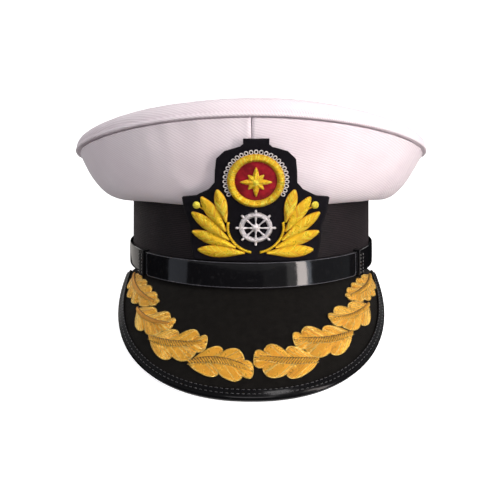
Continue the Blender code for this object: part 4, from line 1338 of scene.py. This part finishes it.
def patch_face(across, above, height=0.0):
    forward, rise, angle = patch_section(above, PATCH_LEAN)
    turn = across / PATCH_RADIUS
    radius = PATCH_RADIUS + height * math.cos(angle)
    return Vector((
        PATCH_SHIFT + radius * math.sin(turn),
        -(patch_line() + forward - PATCH_RADIUS + radius * math.cos(turn)),
        patch_foot() + rise - height * math.sin(angle),
    ))


def patch_up(across, above):
    return (patch_face(across, above, MM) - patch_face(across, above)).normalized()


def patch_half_width(height):
    for low, high in zip(PATCH_OUTLINE, PATCH_OUTLINE[1:]):
        if height <= high["height"]:
            share = (height - low["height"]) / (high["height"] - low["height"])
            return PATCH_HALF_WIDTH * mix(low["half_width"], high["half_width"], share)
    return PATCH_HALF_WIDTH * PATCH_OUTLINE[-1]["half_width"]


def build_patch():
    columns = 48
    heights = {row["height"] for row in PATCH_OUTLINE} | set(shares(70))
    rows, us, vs = [], [], []
    for height in sorted(heights):
        half = patch_half_width(height)
        across = [mix(-half, half, share) for share in shares(columns)]
        rows.append([patch_face(x, height * PATCH_HEIGHT) for x in across])
        us.append(across)
        vs.append([height * PATCH_HEIGHT] * (columns + 1))
    made = grid_object("badge_patch_felt", rows, us, vs, "badge_felt")
    lumps = [smooth_noise(*(vertex.co / PATCH_LUMP_PITCH)) for vertex in made.data.vertices]
    push_out(made, [PATCH_LUMP_DEPTH * lump for lump in lumps])
    dress(made, "badge_felt", "badge_patch")
    cloth_sheet(made, PATCH_THICKNESS)


# Embroidery


def thread_leaf(threads, place, length, half_width, thickness, edge, slant, lean=0.0,
                cord=CORD_RADIUS, spacing=CORD_SPACING, seat=GAP, lobe=None):
    """A padded leaf sewn with cords that run from its midrib to its edge, sunk between its lobes."""
    up = (place(length / 2, 0.0, MM) - place(length / 2, 0.0, 0.0)).normalized()

    def surface(share, reach, lift=0.0):
        share = min(max(share, 0.0), 1.0)
        half = half_width(share)
        crest = mix(edge, thickness, min(1.0, 4 * share * (1 - share) + 0.3))
        height = crest - (crest - edge) * reach**2
        if lobe:
            end = min(max(share + slant / length * (1 - abs(reach)), 0.0), 1.0)
            height -= OAK_DIP * (1 - lobe(end)) * min(1.0, 1.8 * abs(reach))
        return place(share * length + lean * half * abs(reach), half * reach, seat + height + lift)

    rows = []
    for share in shares(48):
        row = [place(share * length + lean * half_width(share), -half_width(share), seat * 0.2)]
        row += [surface(share, mix(-1.0, 1.0, s), -cord * 0.9) for s in shares(12)]
        row.append(place(share * length + lean * half_width(share), half_width(share), seat * 0.2))
        rows.append(row)
    # A darker layer under the cords: painted shade where it shows between them.
    threads.quads(rows, BASE)
    count = round(length / spacing)
    for side in (-1, 1):
        for i in range(-round(slant / spacing), count):
            share = (i + 0.5) / count
            path = []
            for reach in shares(7):
                at = share + slant / length * reach
                if 0.0 <= at <= 1.0:
                    path.append(surface(at, side * reach, -0.45 * cord))
            if len(path) < 3:
                continue
            path.append(path[-1] - up * (edge * 0.6))
            tone = smooth_noise(900 * length, 1.7 * i, 3.0 * side)
            kind = BRIGHT if tone > 0.22 else RIB if tone < -0.36 else STRAND
            threads.tube(path, [cord] * (len(path) - 1) + [cord * 0.6], up, kind)
    return surface, up


def leaf_outline(surface, samples, lift, overshoot=1.03):
    """The closed line round a leaf's edge."""
    steps = shares(samples)
    one = [surface(share, overshoot, lift) for share in steps]
    return one + [surface(share, -overshoot, lift) for share in steps[::-1]]


def laurel_half_width(width):
    return lambda share: width / 2 * (0.12 + 0.88 * math.sin(math.pi * share**1.35) ** 0.8)


def oak_lobe(lobes):
    """How far a place along an oak leaf is from its nearest notch: 1 at the middle of a lobe."""
    return lambda share: abs(math.sin(math.pi * lobes * share)) ** 0.6


def oak_half_width(width, lobes):
    lobe = oak_lobe(lobes)

    def half(share):
        oval = max(OAK_END_SHARE, math.sqrt(math.sin(math.pi * min(share, 0.999) ** 0.8)))
        return width / 2 * oval * mix(1 - OAK_NOTCH_SHARE, 1.0, lobe(share))

    return half


def build_berry(threads, side):
    """A coiled knot on a short stalk between two laurel leaves."""

    def place(x, y, height):
        return patch_face(side * x, WHEEL_HEIGHT + y, GAP + height)

    up = patch_up(BERRY_OUT, WHEEL_HEIGHT + BERRY_RISE)
    stalk = [mix(BERRY_STALK_SHARE, 1.0, share) for share in shares(8)]
    path = [place(BERRY_OUT * share, BERRY_RISE * share**1.6, 0.5 * MM) for share in stalk]
    threads.rope(path, BERRY_STALK_RADIUS, BERRY_STALK_PITCH, up, (STRAND, RIB))
    coil = []
    for i in range(61):
        share, turn = i / 60, math.tau * i / 14
        reach = BERRY_RADIUS * math.cos(share * math.pi / 2) + 0.1 * MM
        height = 0.4 * MM + BERRY_RADIUS * 0.8 * math.sin(share * math.pi / 2)
        coil.append(place(BERRY_OUT + reach * math.cos(turn), BERRY_RISE + reach * math.sin(turn), height))
    threads.tube(coil, BERRY_CORD_RADIUS, up, BRIGHT)


def build_laurel():
    for side_name, side in (("left", 1), ("right", -1)):
        for index, row in enumerate(LAUREL, start=1):
            stalk, turn = math.radians(row["stalk_deg"]), math.radians(row["heading_deg"])

            def place(along, across, height, stalk=stalk, turn=turn, side=side):
                radius = STEM_RADIUS + STEM_WIDTH / 2 + 2 * GAP
                x = radius * math.cos(stalk) + along * math.cos(turn) - across * math.sin(turn)
                y = radius * math.sin(stalk) + along * math.sin(turn) + across * math.cos(turn)
                return patch_face(side * x, WHEEL_HEIGHT + y, height)

            threads = Threads()
            surface, up = thread_leaf(
                threads, place, row["length"], laurel_half_width(row["width"] + LAUREL_SPREAD),
                LAUREL_THICKNESS, LAUREL_EDGE, slant=LAUREL_SLANT,
            )
            threads.tube(leaf_outline(surface, 24, -0.2 * MM), EDGE_CORD_RADIUS, up, RIB, closed=True)
            midrib = [surface(0.02 + 0.9 * i / 20, 0.0, -0.12 * MM) for i in range(21)]
            threads.tube(midrib, 0.8 * CORD_RADIUS, up, RIB)
            name = f"laurel_{side_name}_{index}"
            threads.finish(f"{name}_thread", BADGE_GOLDS, "gold_bullion", name)
        bend = [math.radians(mix(STEM_FROM_DEG, STEM_TO_DEG, share)) for share in shares(40)]
        places = [
            (side * STEM_RADIUS * math.cos(t), WHEEL_HEIGHT + STEM_RADIUS * math.sin(t)) for t in bend
        ]
        threads = Threads()
        lift = GAP + STEM_WIDTH / 2 * 0.8
        path = [patch_face(x, y, lift) for x, y in places]
        threads.rope(path, STEM_WIDTH / 2, STEM_PITCH, [patch_up(x, y) for x, y in places])
        build_berry(threads, side)
        name = f"laurel_{side_name}_stem"
        threads.finish(f"{name}_thread", BADGE_GOLDS, "gold_bullion", name)


def medallion_face(radius, turn, height):
    return patch_face(radius * math.sin(turn), MEDALLION_HEIGHT + radius * math.cos(turn), height)


def sewn_ring(threads, face, radius, half_width, thickness, spacing, cord, skew):
    """Short cords laid side by side across a padded ring."""
    count = round(math.tau * radius / spacing)
    up = (face(radius, 0.0, MM) - face(radius, 0.0, 0.0)).normalized()
    for i, turn in enumerate(turns(count)):
        path = [face(radius - half_width, turn, 0.0)]
        for share in shares(6):
            height = thickness * (0.45 + 0.55 * math.sin(math.pi * share)) - cord * 0.5
            reach = mix(radius - half_width, radius + half_width, share)
            path.append(face(reach, turn + skew * share, GAP + height))
        path.append(face(radius + half_width, turn + skew, 0.0))
        threads.tube(path, cord, up, BRIGHT if smooth_noise(0.7 * i, 4.0) > 0.1 else STRAND)
    # A core under the cords in the darker BASE look: painted shade where it shows between them.
    core = [face(radius, turn, GAP + thickness * 0.4) for turn in turns(60)]
    threads.tube(core, min(half_width, thickness * 0.55) * 0.85, up, BASE, 10, closed=True)


def build_medallion():
    threads = Threads()
    sewn_ring(
        threads, medallion_face, RING_RADIUS, RING_HALF_WIDTH - 0.4 * MM, RING_THICKNESS,
        RING_CORD_SPACING, RING_CORD_RADIUS, RING_SKEW,
    )
    up = patch_up(0.0, MEDALLION_HEIGHT)
    for radius in (RING_RADIUS - RING_HALF_WIDTH + 0.1 * MM, RING_RADIUS + RING_HALF_WIDTH - 0.1 * MM):
        path = [medallion_face(radius, turn, GAP + 0.4 * MM) for turn in turns(90)]
        threads.rope(path, RING_ROPE_RADIUS, RING_ROPE_PITCH, up, (RIB, STRAND), closed=True)
    threads.finish("medallion_ring_thread", BADGE_GOLDS, "gold_bullion", "medallion_ring")

    count, reach = 72, RING_RADIUS - RING_HALF_WIDTH - GAP
    ring = [-turn for turn in (*turns(count), math.tau)]
    rows, us, vs = [], [], []
    for share in (1.0, 0.995, 0.97, 0.93, 0.86, 0.76, 0.62, 0.46, 0.3, 0.15):
        height = GAP + CUSHION_THICKNESS * (1 - max(0.0, (share - 0.6) / 0.4) ** 2.5)
        rows.append([medallion_face(reach * share, turn, height) for turn in ring[:-1]])
        us.append([reach * share * math.sin(turn) for turn in ring])
        vs.append([reach * share * math.cos(turn) for turn in ring])
    middle = medallion_face(0.0, 0.0, GAP + CUSHION_THICKNESS)
    rows.insert(0, [medallion_face(reach, turn, GAP * 0.5) for turn in ring[:-1]])
    us.insert(0, us[0])
    vs.insert(0, vs[0])
    cushion = grid_object("medallion_cushion_velvet", rows, us, vs, "velvet", ring=True, middle=middle)
    dress(cushion, "red_felt", "medallion_cushion")
    build_star(GAP + CUSHION_THICKNESS)
    build_pearls(RING_RADIUS + RING_HALF_WIDTH + GAP + PEARL_RADIUS)


def build_star(seat):
    threads = Threads()
    for i, turn in enumerate(turns(STAR_POINTS)):
        length = STAR_LONG * (STAR_SHORT_SHARE if i % 2 else 1.0)

        def place(along, across, height, turn=turn):
            x = along * math.sin(turn) + across * math.cos(turn)
            y = along * math.cos(turn) - across * math.sin(turn)
            return patch_face(x, MEDALLION_HEIGHT + y, height)

        def half(share):
            return STAR_HALF_WIDTH * (0.05 + 0.95 * math.sin(math.pi * min(1.0, share * 0.8 + 0.2)) ** 0.9)

        _, up = thread_leaf(
            threads, place, length, half, STAR_THICKNESS, STAR_EDGE, slant=STAR_SLANT,
            cord=STAR_CORD_RADIUS, spacing=STAR_CORD_SPACING, seat=seat,
        )
    knot = []
    for i in range(49):
        turn, share = math.tau * i / 12, i / 48
        knot.append(medallion_face(mix(1.5 * MM, 0.1 * MM, share), turn, seat + mix(0.9, 1.9, share) * MM))
    threads.tube(knot, STAR_KNOT_RADIUS, up, BRIGHT)
    threads.finish("medallion_star_thread", BADGE_GOLDS, "gold_bullion", "medallion_star")


def build_pearls(reach):
    """Small loops of silver purl in an arc round the medallion."""
    threads = Threads()
    up = patch_up(0.0, MEDALLION_HEIGHT)
    for i in range(PEARL_COUNT):
        turn = math.radians(mix(-PEARL_ARC_DEG, PEARL_ARC_DEG, i / (PEARL_COUNT - 1)))
        x, y = reach * math.sin(turn), MEDALLION_HEIGHT + reach * math.cos(turn)
        loop = []
        for angle in turns(14):
            out, side = 1.05 * PEARL_RADIUS * math.cos(angle), 0.85 * PEARL_RADIUS * math.sin(angle)
            dx = out * math.sin(turn) + side * math.cos(turn)
            dy = out * math.cos(turn) - side * math.sin(turn)
            loop.append(patch_face(x + dx, y + dy, GAP + PEARL_THREAD + 0.15 * MM * math.cos(angle)))
        threads.tube(loop, PEARL_THREAD, up, STRAND, 7, closed=True)
    threads.finish("medallion_pearls_thread", ["silver"], "silver_bullion", "medallion_pearls")


def build_wheel():
    """A ship's wheel: sewn rim, coiled hub and turned spokes with handles."""

    def face(radius, turn, height):
        return patch_face(radius * math.sin(turn), WHEEL_HEIGHT + radius * math.cos(turn), height)

    threads = Threads()
    sewn_ring(
        threads, face, WHEEL_RADIUS, WHEEL_RIM_HALF_WIDTH, WHEEL_THICKNESS, WHEEL_CORD_SPACING,
        WHEEL_CORD_RADIUS, WHEEL_SKEW,
    )
    up = patch_up(0.0, WHEEL_HEIGHT)
    for turn in turns(WHEEL_SPOKES):
        path = [face(WHEEL_REACH * share, turn, GAP + 0.75 * MM) for share, _ in WHEEL_SPINDLE]
        threads.tube(path, [size * WHEEL_SPINDLE_RADIUS for _, size in WHEEL_SPINDLE], up, STRAND, 8)
    coil = []
    for i in range(97):
        share = i / 96
        radius = mix(WHEEL_HUB_RADIUS - 0.3 * MM, 0.15 * MM, share)
        height = GAP + mix(0.5, 1.7, math.sin(math.pi * share / 2)) * MM
        coil.append(face(radius, math.tau * i / 16, height))
    threads.tube(coil, WHEEL_HUB_CORD_RADIUS, up)
    # A cone under the hub's coil in the darker BASE look: painted shade between its turns.
    threads.tube([face(0.0, 0.0, GAP * 0.2), face(0.0, 0.0, GAP + 1.2 * MM)],
                 [WHEEL_HUB_RADIUS * 0.9, WHEEL_HUB_RADIUS * 0.5], Vector((1.0, 0.0, 0.0)), BASE, 16)
    silvers = ["silver", "silver_shadow", "silver_shadow", "silver"]
    threads.finish("ships_wheel_thread", silvers, "silver_bullion", "ships_wheel")


def sew_midrib(threads, surface, length, half_width, outer, spacing, cord, slant, look):
    """Slanting stitches laid side by side over a dark strip along a leaf's middle; the strip's dark colour
    is painted shade where it shows between the stitches.
    """

    def width(share):
        return half_width * (0.3 + 0.7 * math.sin(math.pi * min(1.0, 0.12 + 0.85 * share)) ** 0.7)

    def point(share, across, lift):
        at = min(max(share, 0.0), 0.99)
        aside = (surface(at, 0.3, lift) - surface(at, -0.3, lift)).normalized()
        return surface(at, 0.0, lift) + aside * across

    strip = []
    for share in [MIDRIB_STRIP_END * step for step in shares(32)]:
        half = width(share)
        strip.append([point(share, half * across, 0.12 * MM) for across in MIDRIB_STRIP_ACROSS])
    threads.quads(strip, SHADOW)
    up = (surface(0.5, 0.0, MM) - surface(0.5, 0.0)).normalized()
    # Beside the stitches, the dark cord on the inner side is painted shade and the light cord on the outer
    # side a painted highlight.
    for side, size, kind in ((-outer, 0.24 * MM, SHADOW), (outer, 0.2 * MM, BRIGHT)):
        line = [MIDRIB_BORDER_END * step for step in shares(32)]
        border = [point(share, MIDRIB_BORDER_OUT * side * width(share), 0.3 * MM) for share in line]
        threads.tube(border, size, up, kind)
    for i in range(round(0.95 * length / spacing)):
        middle = (i + 0.5) * spacing / length
        path = []
        for reach in [mix(-1.0, 1.0, step) for step in shares(6)]:
            share = middle + slant / length * reach / 2
            arch = 0.15 * MM + 0.55 * MM * math.sqrt(1 - 0.9 * reach**2)
            path.append(point(share, outer * width(middle) * reach, arch))
        threads.tube(path, [cord * 0.6, cord, cord, cord, cord, cord, cord * 0.6], up, look)


def build_oak_leaves():
    for row in OAK:
        start, end = row["stalk_distance"], row["tip_distance"]
        stalk, turn = math.radians(row["stalk_deg"]), math.radians(row["tip_deg"] - row["stalk_deg"])
        middle, distance = stalk + turn / 2, (start + end) / 2
        per_radian = (peak_face(middle + 0.01, distance) - peak_face(middle - 0.01, distance)).length / 0.02
        run, drop = turn * per_radian, end - start
        length = math.hypot(run, drop)
        outer = math.copysign(1.0, run)

        def place(along, across, height, row=row, stalk=stalk, run=run, drop=drop, length=length,
                  per_radian=per_radian, outer=outer):
            share = along / length
            across += 4 * outer * row["bow"] * share * (1 - share)
            x = (along * run - across * drop) / length
            y = (along * drop + across * run) / length
            return peak_face(stalk + x / per_radian, row["stalk_distance"] + y, height)

        name, lobes = row["name"], row["lobes"]
        threads = Threads()
        surface, up = thread_leaf(
            threads, place, length, oak_half_width(row["width"] - 2 * EDGE_CORD_RADIUS, lobes),
            OAK_THICKNESS, OAK_EDGE, lean=OAK_VEIN_LEAN, slant=OAK_SLANT, lobe=oak_lobe(lobes),
        )
        edge_line = leaf_outline(surface, round(24 * lobes), -0.1 * MM, 1.01)
        threads.tube(edge_line, EDGE_CORD_RADIUS, up, BRIGHT, closed=True)
        if name in SMOOTH_MIDRIBS:
            sew_midrib(threads, surface, length, SMOOTH_MIDRIB_HALF_WIDTH, outer, CORD_SPACING,
                       CORD_RADIUS, MIDRIB_SLANT / 4, RIB)
        else:
            half = BROAD_MIDRIB_HALF_WIDTH if name in BROAD_MIDRIBS else SLIM_MIDRIB_HALF_WIDTH
            sew_midrib(threads, surface, length, half, outer, MIDRIB_SPACING, MIDRIB_CORD_RADIUS,
                       MIDRIB_SLANT, STRAND)
        threads.finish(f"oak_leaf_{name}_thread", OAK_GOLDS, "gold_bullion", f"oak_leaf_{name}")


# Stage, light and camera


def build_floor():
    mesh = bpy.data.meshes.new("floor")
    far = FLOOR_HALF_WIDTH
    mesh.from_pydata([(-far, -far, 0), (far, -far, 0), (far, far, 0), (-far, far, 0)], [], [(0, 1, 2, 3)])
    mesh.materials.append(floor_material("pale_sweep", FLOOR_GLOW))
    floor = add_object("floor", mesh)
    floor.visible_diffuse = False
    floor.visible_glossy = False


def around(bearing):
    """The level direction at a bearing to the right of the camera's side."""
    return Vector((math.sin(bearing), -math.cos(bearing), 0.0))


def ring_screen(name, radius, low, high, look, seen_by):
    """An upright ring round the set that one kind of ray alone can see."""
    points, faces = [], []
    for i in range(SCREEN_STEPS):
        away = around(math.tau * i / SCREEN_STEPS) * radius
        points += [away + UP * low, away + UP * high]
        after = 2 * ((i + 1) % SCREEN_STEPS)
        faces.append((2 * i, 2 * i + 1, after + 1, after))
    mesh = bpy.data.meshes.new(name)
    mesh.from_pydata(points, [], faces)
    mesh.materials.append(look)
    ring = add_object(name, mesh)
    for kind in ("camera", "diffuse", "glossy", "transmission", "shadow", "volume_scatter"):
        setattr(ring, f"visible_{kind}", kind == seen_by)


def build_screens():
    """Black cards that show only in reflections, and a white screen that only the camera sees."""
    black = Look("black_card", Specular_IOR_Level=0.0, Base_Color=(*FLAG_TONE, 1.0))
    ring_screen("flags", FLAG_RADIUS, -FLAG_RADIUS, FLAG_HEIGHT, black.material, "glossy")
    white = floor_material("white_screen", BACKDROP_GLOW)
    ring_screen("backdrop", BACKDROP_RADIUS, -BACKDROP_DROP, BACKDROP_HEIGHT, white, "camera")


def build_world():
    """Soft surroundings, whitest behind the cap."""
    world = bpy.data.worlds.new("studio")
    world.use_nodes = True
    nodes = Nodes(world.node_tree)
    background = nodes.tree.nodes["Background"].inputs
    away = nodes.tree.nodes.new("ShaderNodeTexCoord").outputs["Generated"]
    strength = nodes.ranged(nodes.split(away)[1], -0.2, 0.8, WORLD_FRONT, 1.0)
    nodes.wire(strength, background["Strength"])
    background["Color"].default_value = (1.0, 1.0, 1.0, 1.0)
    bpy.context.scene.world = world


def add_light(name, place, aim, width, height, watts, colour):
    data = bpy.data.lights.new(name, "AREA")
    data.shape = "RECTANGLE"
    data.size, data.size_y = width, height
    data.energy = watts
    data.color = colour
    lamp = add_object(name, data)
    lamp.location = place
    lamp.rotation_euler = (place - aim).to_track_quat("Z", "Y").to_euler()


def build_lights():
    aim = UP * LIGHT_AIM
    for row in SOFTBOXES:
        rise = math.radians(row["rise_deg"])
        reach = around(math.radians(row["bearing_deg"])) * math.cos(rise) + UP * math.sin(rise)
        add_light(row["name"], aim + reach * row["distance"], aim, row["width"], row["height"],
                  row["watts"], row["colour"])
    for row in PANELS:
        top = row.get("top", PANEL_TOP)
        middle, height = UP * (PANEL_FOOT + top) / 2, top - PANEL_FOOT
        start, end = math.radians(row["from_deg"]), math.radians(row["to_deg"])
        width = 2 * PANEL_RADIUS * math.sin((end - start) / 2)
        place = middle + around((start + end) / 2) * PANEL_RADIUS * math.cos((end - start) / 2)
        watts = row["glow"] * math.pi * width * height
        add_light(row["name"], place, middle, width, height, watts, row["colour"])


def build_camera():
    data = bpy.data.cameras.new("camera")
    data.sensor_width = 36.0
    data.lens = CAMERA_LENS_MM
    camera = add_object("camera", data)
    turned = Matrix.Rotation(math.radians(90.0 - CAMERA_DOWN_DEG), 4, "X")
    camera.matrix_world = CAP_TO_FRAME @ Matrix.Translation(CAMERA_PLACE) @ turned
    bpy.context.scene.camera = camera


def set_colours():
    settings = bpy.context.scene.view_settings
    settings.view_transform = "Standard"
    settings.look = "None"


build_band()
build_crown_sides()
build_crown_piping()
build_crown_top()
build_peak()
build_binding()
build_strap()
build_patch()
build_medallion()
build_wheel()
build_laurel()
build_oak_leaves()
build_floor()
build_screens()
build_world()
build_lights()
build_camera()
set_colours()
